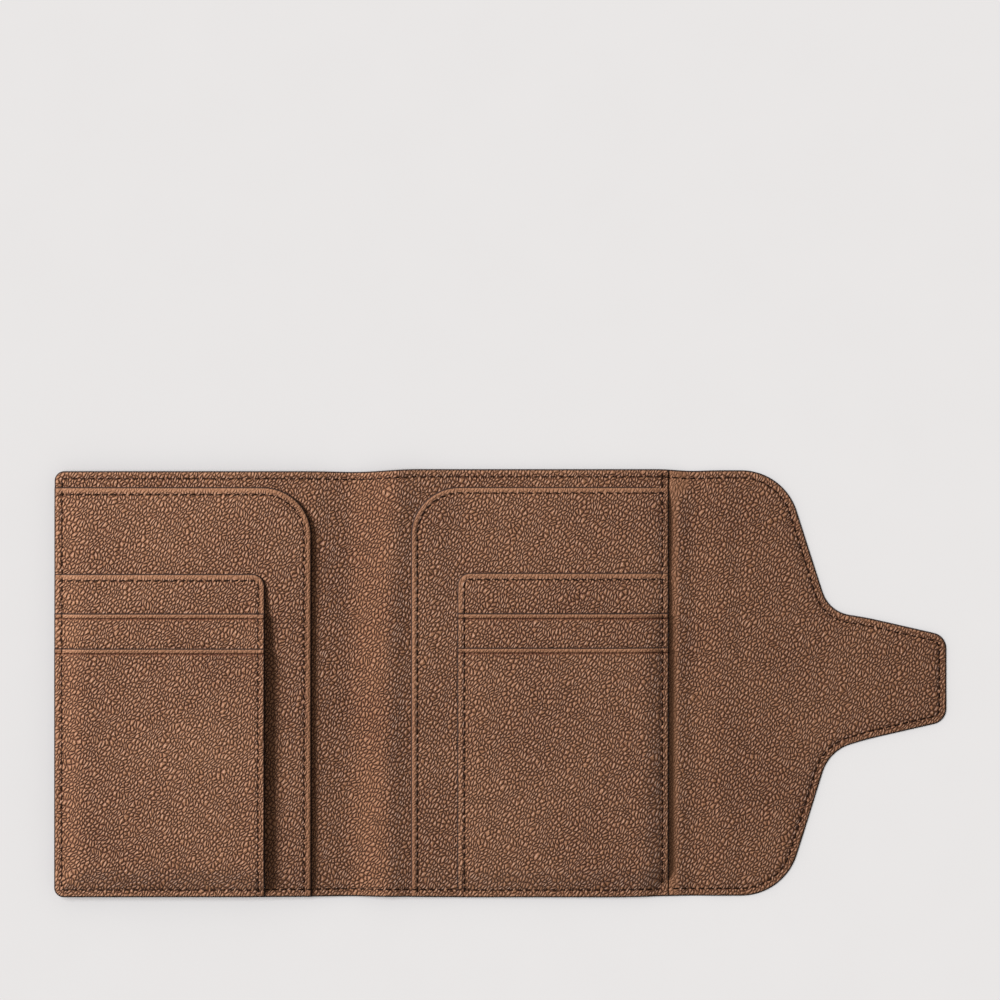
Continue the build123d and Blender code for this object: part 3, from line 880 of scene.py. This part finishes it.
# %% [markdown]
# ## The lining of gusset and flap
#
# It starts under the turned edge and runs to the tip of the tongue over a thin core. A strip
# of it beside the step has been rubbed smooth where it was turned and pressed, wider towards
# the top. That strip is the calm reading of the mesh, which the leather's grain fades with.

# %% Flap lining skins
FLAP_LINING = 0.62      # thickness of the flap's lining over its core

for name, (start, end), bends, nodes in (
    ("flap_lining_gusset_skin", (LINING_STEP - LAP, MID_GUSSET), zones["gusset"][2],
     ["flap_lining_lap", "lining_gusset"]),
    ("flap_lining_skin", (MID_GUSSET, TIP), zones["flap"][2], ["lining_flap"]),
):
    x, y = plan_grid(zone_stations(start, end, 2.0), lower_side, upper_side, 2.6)
    d = distance(x, y, cover_line)
    bottom = lining_bottom(x, y, d, np.clip(flap_sandwich(x) - COVER - FLAP_LINING, 0, None))
    worn = 2.4 + 3.6 * smooth((y - (TOP - 10)) / 5)
    calm = 1 - smooth((x - LINING_STEP - worn) / 1.6)
    piece = slab(name, x, y, flap_lining_top(x, y, d), bottom, d, calm=calm, cut=(130, 260))
    finish_piece(piece, inner_leather, nodes, bends=bends)
    print(name, len(piece.data.polygons), "faces")

# %% [markdown]
# ## Pockets and card stacks
#
# A passport pocket covers each panel up to its mouth, and a card stack sits on it: a back
# piece and two slots that step down. They are sewn into the cover's own edge, and along their
# inner side each has a seam of its own. The side that is not sewn to the cover gets a rounded,
# slightly lifted rim, which is what catches the light. Solidified planes would stack up too,
# but as even plates; a grid that knows its distance from each edge can swell and thin.

# %% What the pocket layers lie on
def layer_grid(panel, outline, pitch):
    """Grid over a layer, fine at its open sides and at the sewn edges."""
    low, high = sorted([panel["outer"], outline["inner"]])
    corner = cover_arcs[7] if panel["sign"] > 0 else np.array([[panel["outer"], BOTTOM]])
    lower = [corner, np.array([[outline["inner"], BOTTOM]])]
    upper = [outline["arc"], np.array([[panel["outer"], outline["mouth"]]])]
    return plan_grid(stations(low, high, pitch), lower, upper, pitch)


def sewn_distance(panel, x, y):
    """Distance from the painted edge into which the panel's pockets are sewn."""
    d = distance(x, y, cover_line)
    return d if panel["sign"] > 0 else np.minimum(d, np.abs(panel["outer"] - x))


def bed(panel, x, y):
    """The ground under the pockets. They are stiff, so on the front panel they don't follow
    the cover down into the spine, and their inner side stands free of the lining."""
    return ground(np.minimum(x, FRONT_CREASE - 16) if panel["sign"] > 0 else x, y)


def stepped_edge(panel, x, level):
    """On the back panel the stack thins towards the step over the gusset, and is rounded there."""
    if panel["sign"] > 0:
        return 0
    step = np.abs(panel["outer"] - x)
    thinned = (level - PANEL) * 0.72 * (1 - smooth((step - 0.8) / 8))
    return thinned + roundover(step, 1.6, 0.35)


LEVELS = {key: span(f"back_{node}")[1][2] for key, node in LAYERS.items()}


def full_level(panel, key):
    """Level of a layer, a share thinner than the pattern because the stack is pressed."""
    return PANEL + (LEVELS[key] - PANEL) * panel["thin"]


for side, panel in panels.items():
    print(side, "levels", {key: round(float(full_level(panel, key)), 2) for key in LAYERS})

# %% [markdown]
# ## Heights of the pocket layers
#
# Each layer's top is one formula: its level, pressed at the sewn edge, less everything that
# falls away at its rims and seams. The passport pocket and the card stack differ enough to
# have a formula each. A height field can't fold over itself, but no layer here does.

# %% Tops of the pocket layers
MARGINS = {"pocket": 0.72, "card": 0.67, "upper": 0.615, "slot": 0.575}
ABOVE = {"card": "upper", "upper": "slot"}      # the layer whose mouth dents each of these
CARD_SEAM = 2.45                                # how far inside the stack's rim its seam runs
GAPE_BELOW = span("front_card_panel")[1][1] + 6     # the stack's open side gapes below this y


def pocket_top(panel, key, x, y):
    """Top of the passport pocket: a plump rim, a seam furrow, and the pressed sewn edge."""
    d, rim = distance(x, y, cover_line), distance(x, y, panel["outlines"][key]["line"])
    full = full_level(panel, key)
    level = pressed(d, full, MARGINS[key]) - 0.25 * (1 - smooth((rim - 1.5) / 7))
    level = level + 0.10 * np.exp(-((rim - 1.1) / 0.8) ** 2)
    sewn = sewn_distance(panel, x, y)
    seams = furrow(rim, panel["seam"], SEAM_DEPTH, 0.5) + furrow(sewn, EDGE_SEAM, SEAM_DEPTH, 0.5)
    fall = roundover(rim, 1.3, 0.6) + roundover(d, 0.9, 0.5) + stepped_edge(panel, x, full)
    fall = fall + dent(panel, "card", x, y)
    return bed(panel, x, y) + level - fall - seams * (sewn > 0.6)


def slot_lip(lip):
    """How a slot falls at its mouth: a rounded rim, a bulge behind it and its heat crease."""
    fall = roundover(lip, 0.7, 0.40) + furrow(lip, SLOT_CREASE, 0.28, 0.30)
    return fall - 0.18 * np.exp(-((lip - 0.9) / 0.5) ** 2)


def card_top(panel, key, x, y):
    """Top of one layer of the card stack. It presses the pocket that it lies on, rises from
    its seam to its full height, and a slot has a heat crease below its edge."""
    d = distance(x, y, cover_line)
    side = distance(x, y, panel["outlines"]["card"]["line"])
    low, high = full_level(panel, "pocket"), full_level(panel, key)
    rise = 0.74 + 0.26 * smooth((side - 1.0) / 7)
    gape = panel["gape"] * (1 - smooth(side / 8)) * smooth((GAPE_BELOW - y) / 25) * smooth(d / 6)
    height = pressed(d, low + (high - low) * rise, MARGINS[key]) + gape
    fall = roundover(side, 0.9, 0.55) + furrow(side, CARD_SEAM, SEAM_DEPTH, 0.5)
    fall = fall + roundover(d, 0.9, 0.5) + stepped_edge(panel, x, high)
    if key in ABOVE:
        fall = fall + dent(panel, ABOVE[key], x, y)
    if key != "card":
        fall = fall + slot_lip(panel["outlines"][key]["mouth"] - y)
    fall = fall + furrow(sewn_distance(panel, x, y), EDGE_SEAM, SEAM_DEPTH, 0.5)
    return bed(panel, x, y) + height - fall


print("the heat crease is", round(float(slot_lip(np.array(SLOT_CREASE))), 2), "mm deep")

# %% [markdown]
# ## Building the pockets
#
# The four layers of a panel are built from the bottom up. Each layer's underside is the top
# of the one beneath it plus a hair's breadth, so the order of the dictionary is the order of
# the stack. The mouth of a slot is pressed smooth down to its crease, and the rim of a pocket
# down to its seam.

# %% Pocket skins
THICKEST, THINNEST = 0.75, 0.12     # leather of a pocket layer

for side, panel in panels.items():
    beneath, panel["tops"] = lining_surface, {}
    for number, (key, node) in enumerate(LAYERS.items()):
        outline, is_slot = panel["outlines"][key], key in ("upper", "slot")
        layer_top = partial(pocket_top if key == "pocket" else card_top, panel, key)
        x, y = layer_grid(panel, outline, 1.9 if key == "pocket" else 1.6)
        top = layer_top(x, y)
        bottom = np.maximum(beneath(x, y) + GAP, top - THICKEST)
        bottom = np.minimum(bottom, top - THINNEST)
        rim = distance(x, y, outline["line"])
        lip = outline["mouth"] - y if is_slot else rim
        calm = 1 - smooth((lip - (SLOT_CREASE + 0.1 if is_slot else 1.7)) / 0.4)
        piece = slab(
            f"{side}_{node}_skin", x, y, top, bottom, np.minimum(sewn_distance(panel, x, y), rim),
            calm, lip if is_slot else None, np.array(panel["cut"]) + 31 * number)
        finish_piece(piece, pocket_leather, [f"{side}_{node}"], body=panel["body"])
        panel["tops"][key] = beneath = layer_top
    print(side, "inner edges", {key: round(float(o["inner"]), 2) for key, o in panel["outlines"].items()})

# %% [markdown]
# ## Boards, tape, core and cloth backings
#
# The stiffeners and the cloth backings are hidden between the leathers, and only their edges
# could ever show. The picture would hardly change without them, but a taken-apart model would.
# They keep their CAD place and follow the ground like their neighbours, each as a plain slab
# of even thickness. The spine's tape bends at two creases, so it is two pieces.

# %% Hidden layers
BOARD_LAYER, CORE_LAYER, CLOTH_LAYER, TAPE_LAYER = 0.8, 0.2, 0.08, 0.05     # thicknesses
CLOTH_GAP = 0.04        # between a cloth and what it lies on
HIDDEN_ROWS = 24        # rows and columns of a hidden layer
INSIDE_SEAM = 4.6       # how far inside the painted edge a hidden layer ends
UNPAINTED = 9.0         # a distance from the edge at which there is no paint


def hidden_layer(node, material, base, thickness, margin=0.3, part=None, body=None, bends=None):
    """A stiffener or backing at its CAD place, a margin smaller, lying on the surface base."""
    low, high = span(node)
    left, right = part or (low[0] + margin, high[0] - margin)
    xs = np.linspace(left, right, HIDDEN_ROWS)
    edge = chain(upper_side, xs)
    reach = np.minimum(high[1] - margin, edge - INSIDE_SEAM * np.sqrt(1 + np.gradient(edge, xs) ** 2))
    lowest = np.maximum(low[1] + margin, -reach)
    y = lowest[:, None] + (reach - lowest)[:, None] * np.linspace(0, 1, HIDDEN_ROWS)
    x = np.repeat(xs[:, None], HIDDEN_ROWS, 1)
    bottom = base(x, y)
    suffix = "" if part is None else f"_{bends[0]}"
    piece = slab(f"{node}_layer{suffix}", x, y, bottom + thickness, bottom, np.full_like(x, UNPAINTED))
    return finish_piece(piece, material, [node], body=body, bends=bends)


def above(surface, gap):
    """A surface a small gap above another."""
    return lambda x, y: surface(x, y) + gap


over_cover = above(ground, COVER + GAP)
on_lining = above(lining_surface, CLOTH_GAP)
for side, panel in panels.items():
    on_card = above(panel["tops"]["card"], CLOTH_GAP)
    for node, material, slot, base, thickness, margin in (
        (f"board_{side}", fibre_board, "board", over_cover, BOARD_LAYER, 0.3),
        (f"{side}_passport_backing", cloth, "textile", on_lining, CLOTH_LAYER, 1.5),
        (f"{side}_slot_backing", cloth, "textile", on_card, CLOTH_LAYER, 4.5),
    ):
        hidden_layer(node, material, base, thickness, margin, body=panel["body"])
low, high = span("spine_tape")
for zone, part in (("front", (low[0], MID_SPINE)), ("back", (MID_SPINE, high[0]))):
    hidden_layer("spine_tape", cloth, over_cover, TAPE_LAYER, part=part, bends=zones[zone][2])
hidden_layer("flap_core", fibre_board, over_cover, CORE_LAYER, bends=zones["flap"][2])

# %% [markdown]
# ## The keeper strap
#
# A short strap stands off the outside of the front panel, and the tongue of the flap slides
# through it. Both of its ends lie flat on the cover under a box of stitches. A box with loop
# cuts could be bent into it, but its side view is one smooth height profile, so it is the
# same kind of slab as the rest, with its rows close together where the legs bend.

# %% Keeper
STRAP, KEEPER_GAP, KEEPER_TAB = 0.9, 2.3, 6.5
KEEPER_SHIFT = 1.45  # follows the tongue, which points a little upwards
STRAP_ROWS, TAB_ROWS = 160, 14


def box_corners(left, right, bottom, top, radius):
    """Corners of a rectangle from the bottom left, anticlockwise, with their radius."""
    return [(left, bottom, radius), (right, bottom, radius), (right, top, radius), (left, top, radius)]


keeper_low, keeper_high = span("keeper_strap")
keeper_arcs = arcs(box_corners(keeper_low[0], keeper_high[0], keeper_low[1], keeper_high[1], 1.5))
foot = keeper_high[1] - KEEPER_TAB


def keeper_face(x, y, ease, run):
    """A face of the strap: at the cover's level at both ends and KEEPER_GAP away between them.
    It leaves the cover at ease beyond the tab, and is level again after run."""
    return ground(x, y) - 0.02 - (KEEPER_GAP - 0.05) * smooth((foot + ease - np.abs(y)) / run)


def keeper_outside(x, y):
    """The strap's outer face: its legs start further out, which keeps them full thick."""
    return keeper_face(x, y, 0.85, 1.9) - STRAP


xs = stations(keeper_low[0], keeper_high[0], 1.2)
tab_start = foot + 2.0
half = chain([keeper_arcs[3], keeper_arcs[2]], xs)[:, None]
tab_rows = tab_start + (half - tab_start) * np.linspace(0, 1, TAB_ROWS)[1:]
strap_rows = np.repeat(np.linspace(-tab_start, tab_start, STRAP_ROWS)[None], len(xs), 0)
y = np.concatenate([-tab_rows[:, ::-1], strap_rows, tab_rows], 1)
x = np.repeat(xs[:, None], y.shape[1], 1)
d = distance(x, y, closed_line(keeper_arcs))
top = keeper_face(x, y, 0.3, 1.3) - roundover(d, 0.4, 0.15) * (np.abs(y) < foot - 2)
bottom = keeper_outside(x, y) + roundover(d, 0.8, 0.45) + furrow(d, 1.6, 0.12, 0.45) * (np.abs(y) > foot)
strap = slab("keeper_strap_band", x, y + KEEPER_SHIFT, top, bottom, d, cut=(350, 300))
finish_piece(strap, outer_leather, ["keeper_strap"], body="front_panel")
print("keeper", [round(float(v), 1) for v in (*keeper_low, *keeper_high)])

# %% [markdown]
# ## Seam lines
#
# A seam runs at an even distance inside its edge. An offset curve with an Array modifier
# would space stitches too, but it leaves a gap where the line closes. Here the corners of the
# outline are moved inwards, and their radii shrink where the outline is convex and grow where
# it is hollow. Along that line come the stitches, at an even pitch that just fits.

# %% Lines and places of stitches
def inset(corners, distance_in):
    """The corners of a clockwise outline moved inwards: convex radii shrink, hollow ones grow."""
    points = np.array([corner[:2] for corner in corners])
    to_next = np.roll(points, -1, axis=0) - points
    after = to_next / np.hypot(*to_next.T)[:, None]
    before = np.roll(after, 1, axis=0)
    normal = [np.stack([run[:, 1], -run[:, 0]], 1) for run in (before, after)]
    moved = points + distance_in * (normal[0] + normal[1]) / (1 + (normal[0] * normal[1]).sum(1))[:, None]
    turn = before[:, 0] * after[:, 1] - before[:, 1] * after[:, 0]
    radii = [corner[2] + (distance_in if way > 0 else -distance_in) for corner, way in zip(corners, turn)]
    return [(*point, max(radius, 0.3)) for point, radius in zip(moved, radii)]


def paces(line, pitch):
    """Centres and directions of equal stitches along a line, with as near that pitch as fits."""
    run = np.hypot(*np.diff(line, axis=0).T)
    along = np.concatenate([[0], np.cumsum(run)])
    keep = np.concatenate([[True], run > 1e-9])
    along, line = along[keep], line[keep]
    count = max(1, round(along[-1] / pitch))
    s = (np.arange(count) + 0.5) * along[-1] / count
    centre, ahead, behind = (
        np.stack([np.interp(s + offset, along, line[:, i]) for i in (0, 1)], 1)
        for offset in (0, 0.4, -0.4))
    tangent = (ahead - behind) / np.hypot(*(ahead - behind).T)[:, None]
    return centre, tangent


PITCH = 2.9  # millimetres from stitch to stitch
edge_stitches = paces(closed_line(arcs(inset(cover_corners, EDGE_SEAM))), PITCH)
print("stitches round the edge", len(edge_stitches[0]))

# %% [markdown]
# ## Stitches
#
# A machine stitch is a short length of thread that comes out of one hole and goes back into
# the next. Seen from above it is a slim capsule with sunken ends, so each stitch is modelled
# as a few rings along a low arch. All stitches of a seam are worked out together as one
# array. A bump or colour pattern would look flat where the light is as low as it is here.

# %% One seam of stitches
RINGS, SIDES = 6, 6


def seam_faces(count, side):
    """Faces of the tubes: quads between the rings of each stitch, and a cap at both ends."""
    ring = np.arange(SIDES)
    following = np.roll(ring, -1)
    steps = np.arange(RINGS - 1)[:, None] * SIDES
    near, far = steps + ring, steps + following
    quads = np.stack([near, far, far + SIDES, near + SIDES], -1).reshape(-1, 4)
    caps = np.stack([ring[::-1], ring + (RINGS - 1) * SIDES])
    if side > 0:
        quads, caps = quads[:, ::-1], caps[:, ::-1]
    offsets = np.arange(count)[:, None, None] * RINGS * SIDES
    return (quads + offsets).reshape(-1, 4).tolist() + (caps + offsets).reshape(-1, SIDES).tolist()


def stitches(name, centre, tangent, level, nodes=(), side=1, length=2.45, width=0.46, rise=0.20,
             lean=0.0, arch=0.0, body=None, bends=None):
    """One seam: every stitch is a tube along its arch, closed by a cap at both ends.

    lean turns a stitch out of the seam's direction, and arch bows it sideways. Each stitch
    turns and stretches by its own small random amount, as sewn ones do."""
    count = len(centre)
    wobble = np.random.default_rng(len(name) + count)
    angle = lean + wobble.normal(0, 0.03, count)
    c, s = np.cos(angle)[:, None], np.sin(angle)[:, None]
    size = 1 + wobble.normal(0, 0.04, count)
    tx, ty = tangent[:, :1], tangent[:, 1:]
    tangent = np.concatenate([tx * c - ty * s, tx * s + ty * c], 1)
    normal = np.stack([-tangent[:, 1], tangent[:, 0]], 1)
    t = np.linspace(0.0, 1.0, RINGS)
    thin = np.sqrt(np.clip(1 - np.abs(2 * t - 1) ** 3, 0.04, 1))
    bow = np.sin(np.pi * t)
    around = np.arange(SIDES) / SIDES * 2 * np.pi
    middle = (
        centre[:, None] + tangent[:, None] * ((t - 0.5) * length)[:, None] * size[:, None, None]
        + normal[:, None] * (bow * arch)[:, None])
    base = level(middle[..., 0], middle[..., 1])
    across = width / 2 * thin[:, None] * np.cos(around)
    up = (rise * bow ** 0.6 - 0.10)[:, None] + width * 0.42 * thin[:, None] * np.sin(around)
    xy = middle[:, :, None] + normal[:, None, None] * across[None, :, :, None]
    z = base[:, :, None] + side * up[None]
    vertices = np.concatenate([xy, z[..., None]], -1).reshape(-1, 3)
    along = np.tile(np.repeat(t, SIDES), count)
    piece = new_mesh(name, vertices, seam_faces(count, side), along=along)
    return finish_piece(piece, thread, nodes, body=body, bends=bends)


print("one stitch has", len(seam_faces(1, 1)), "faces")

# %% [markdown]
# ## The seam round the edge
#
# One seam holds cover, linings and pockets together all round. Inside it lies on whatever is
# uppermost there, so it climbs over each pocket's mouth. Outside it lies in the cover's
# groove. Shrinkwrap could lay them on the meshes, but the height formulas are at hand and
# exact. Both seams are cut at the zones' ends.

# %% Edge seams
def uppermost(x, y):
    """The highest surface at each place: a lining, or the last pocket layer that reaches it."""
    d = distance(x, y, cover_line)
    z = np.where(x > LINING_STEP, flap_lining_top(x, y, d), lining_top(x, y, d))
    for panel in panels.values():
        for key, top in panel["tops"].items():
            outline = panel["outlines"][key]
            low, high = sorted([panel["outer"], outline["inner"]])
            edge = chain([outline["arc"], np.array([[panel["outer"], outline["mouth"]]])], x)
            z = np.where((x >= low) & (x <= high) & (y <= edge), top(x, y), z)
    return z


def underside(x, y):
    """The cover's outer face where only its place is known."""
    return cover_bottom(x, y, distance(x, y, cover_line))


seam_nodes = {
    "front": ["front_edge_stitching", "spine_stitching"], "back": ["back_edge_stitching"],
    "gusset": ["gusset_stitching"], "flap": ["flap_stitching"],
}
for zone, (start, end, bends) in zones.items():
    along_x = edge_stitches[0][:, 0]
    here = (along_x >= start) & (along_x < end)
    place = [values[here] for values in edge_stitches]
    stitches(f"edge_seam_{zone}", *place, uppermost, seam_nodes[zone], bends=bends)
    stitches(f"edge_seam_{zone}_outside", *place, underside, side=-1, bends=bends)
    print(zone, "edge stitches", len(place[0]))

# %% [markdown]
# ## The seams of the pockets and card stacks
#
# Each runs inside its layer's open side: along the mouth, round the corner and down to the
# bottom. These stitches lie slightly across their seam and bow a little, as thick thread does
# when its tension pulls on one side, and the two panels mirror each other in that too.

# %% Pocket and card seams
LEAN, ARCH = 0.16, 0.14


def seam_path(panel, outline, seam, radius):
    """Seam inside a layer's open side, from the sewn edge round the corner to the bottom."""
    sign = panel["sign"]
    inner, mouth = outline["inner"] - sign * seam, outline["mouth"] - seam
    arc = arcs([(panel["outer"], mouth, 0), (inner, mouth, radius - seam), (inner, BOTTOM, 0)])[1]
    return np.concatenate([[[panel["outer"] + sign * 0.9, mouth]], arc, [[inner, BOTTOM + 1.2]]])


for side, panel in panels.items():
    for key, seam in (("pocket", panel["seam"]), ("card", CARD_SEAM)):
        place = paces(seam_path(panel, panel["outlines"][key], seam, RADII[key]), PITCH)
        stitches(
            f"{side}_{key}_seam", *place, uppermost, [f"{side}_{key}_stitching"], body=panel["body"],
            lean=LEAN * panel["sign"], arch=ARCH * panel["sign"], length=2.5)
        print(side, key, "stitches", len(place[0]))

# %% [markdown]
# ## The seams of the lap and the keeper
#
# A straight seam down the turned edge holds the flap's lining under it. On the outside, a
# small box of shorter stitches sews down each end of the keeper. They come last, and nothing
# of the CAD model should be left in sight after them.

# %% Lap and keeper seams
lap_x = LINING_STEP - LAP_SEAM
place = paces(np.array([[lap_x, TOP - 1.0], [lap_x, BOTTOM + 1.0]]), PITCH)
stitches("lap_seam", *place, uppermost, ["lap_stitching"], body="back_panel")


def on_keeper(x, y):
    """The outside of the shifted strap, with the stitches sunk a little into it."""
    return keeper_outside(x, y - KEEPER_SHIFT) + 0.05


BOX_MARGIN, BOX_HALF, BOX_RADIUS = 1.6, 1.7, 0.4
for way, word in ((1, "upper"), (-1, "lower")):
    middle = way * (keeper_high[1] - KEEPER_TAB / 2) + KEEPER_SHIFT
    box = arcs(box_corners(
        keeper_low[0] + BOX_MARGIN, keeper_high[0] - BOX_MARGIN,
        middle - BOX_HALF, middle + BOX_HALF, BOX_RADIUS))
    stitches(f"keeper_seam_{word}", *paces(closed_line(box), 1.9), on_keeper, ["keeper_stitching"],
             side=-1, length=1.6, width=0.4, body="front_panel")
print("CAD nodes still shown:", [name for name, node in frame["nodes"].items() if not node.hide_render])

# %% [markdown]
# ## The floor
#
# The organizer lies on a pale floor, one big quad with a paper's faint mottle. A curved
# studio backdrop is not needed, since the camera looks down and sees only the floor.

# %% Floor
FLOOR_HALF = 6
PAPER_LOW, PAPER_HIGH = colour(231, 229, 228), colour(233, 231, 230)

material, tree, shader = new_material("floor_paper")
place = add_node(tree, "ShaderNodeTexCoord", {}, 3)  # output 3 is the Object coordinates
mottle = place.node("ShaderNodeTexNoise", {}, in0=place, in2=40.0, in3=2.0)
feed(tree, shader, Base_Color=mottle.blend(PAPER_LOW, PAPER_HIGH), Roughness=0.9, Specular_IOR_Level=0.0)
floor_mesh = bpy.data.meshes.new("floor")
floor_corners = [(x * FLOOR_HALF, y * FLOOR_HALF, 0) for x, y in ((-1, -1), (1, -1), (1, 1), (-1, 1))]
floor_mesh.from_pydata(floor_corners, [], [(0, 1, 2, 3)])
floor_mesh.materials.append(material)
floor = bpy.data.objects.new("floor", floor_mesh)
bpy.context.scene.collection.objects.link(floor)
print("floor", 2 * FLOOR_HALF, "m wide")

# %% [markdown]
# ## The sky
#
# The sky gives the even part of the light, a little warm, and very little of it in
# reflections, so that the leather doesn't turn milky. A picture of a studio could light it
# too, but plain tones give the same result everywhere. Where the camera sees the sky itself,
# beyond the floor, it has the floor's colour. Light Path tells the three cases apart.

# %% Sky
SKY_COLOUR, SKY_STRENGTH = (1.0, 0.94, 0.86, 1.0), 0.34
GLOSS_COLOUR, GLOSS_STRENGTH = (1.0, 0.985, 0.97, 1.0), 0.05

world = bpy.data.worlds.new("sky")
world.use_nodes = True
bpy.context.scene.world = world
tree = world.node_tree
camera_ray = add_node(tree, "ShaderNodeLightPath")
glossy_ray = camera_ray.output("Is Glossy Ray")


def glow(sky_colour, strength):
    """One even sky of a colour and strength."""
    return add_node(tree, "ShaderNodeBackground", {}, in0=sky_colour, in1=strength)


lighting = add_node(
    tree, "ShaderNodeMixShader", {}, in0=glossy_ray, in1=glow(SKY_COLOUR, SKY_STRENGTH),
    in2=glow(GLOSS_COLOUR, GLOSS_STRENGTH))
sky = add_node(tree, "ShaderNodeMixShader", {}, in0=camera_ray, in1=lighting, in2=glow(PAPER_HIGH, 1.0))
tree.links.new(sky.socket, tree.nodes["World Output"].inputs["Surface"])
print("sky strength", SKY_STRENGTH, "and in reflections", GLOSS_STRENGTH)

# %% [markdown]
# ## The lights
#
# One broad light stands to the upper left. It is low, so the pebbles and the steps between
# the layers throw small shadows; it is also wide, so those shadows are soft. A second lamp
# from the other side would fill just the shadows that show the grain. The key falls on the
# organizer only. The pale floor has a soft sun of its own from the same side, so its tone is
# set without changing the leather's, and it still takes the organizer's shadow.

# %% Lights
AZIMUTH, DISTANCE = math.radians(153), 1.3
KEY_ELEVATION, KEY_POWER, KEY_SIZE, KEY_COLOUR = math.radians(27), 30.3, 0.338, (1.0, 1.0, 0.995)
WASH_ELEVATION, WASH_STRENGTH, WASH_ANGLE = math.radians(78), 2.30, math.radians(30)
WASH_COLOUR = (0.9385, 0.960, 1.0)


def place_light(light, elevation, lit):
    """Sets a light at the common azimuth, aimed at the origin, and names what it falls on."""
    holder = bpy.data.objects.new(light.name, light)
    flat = math.cos(elevation) * DISTANCE
    holder.location = flat * math.cos(AZIMUTH), flat * math.sin(AZIMUTH), math.sin(elevation) * DISTANCE
    holder.rotation_euler = math.pi / 2 - elevation, 0, AZIMUTH + math.pi / 2
    bpy.context.scene.collection.objects.link(holder)
    receivers = bpy.data.collections.new(f"lit by {light.name}")
    for item in lit:
        receivers.objects.link(item)
    holder.light_linking.receiver_collection = receivers


pieces = [item for item in bpy.data.objects if item.type == "MESH" and item != floor]
key = bpy.data.lights.new("key", "AREA")
key.energy, key.size, key.color = KEY_POWER, KEY_SIZE, KEY_COLOUR
place_light(key, KEY_ELEVATION, pieces)
wash = bpy.data.lights.new("floor_wash", "SUN")
wash.energy, wash.angle, wash.color = WASH_STRENGTH, WASH_ANGLE, WASH_COLOUR
place_light(wash, WASH_ELEVATION, [floor])
print("the key falls on", len(pieces), "meshes")

# %% [markdown]
# ## The camera
#
# The camera looks straight down through a long lens, which keeps the outline true. A flat
# orthographic view would too, but it loses the slight view of the steps' sides. It stands
# above the organizer's middle, so the organizer lies in the lower half of the view.

# %% Camera
LENS, SENSOR, VIEW_WIDTH = 150.0, 36.0, 333.3

camera = bpy.data.cameras.new("camera")
camera.lens, camera.sensor_width = LENS, SENSOR
view = bpy.data.objects.new("camera", camera)
view.location = (-0.36 * MM, 61.33 * MM, (VIEW_WIDTH * LENS / SENSOR + 2.0) * MM)
bpy.context.scene.collection.objects.link(view)
bpy.context.scene.camera = view
bpy.context.scene.view_settings.view_transform = "Standard"
print("camera", round(view.location.z, 3), "m up")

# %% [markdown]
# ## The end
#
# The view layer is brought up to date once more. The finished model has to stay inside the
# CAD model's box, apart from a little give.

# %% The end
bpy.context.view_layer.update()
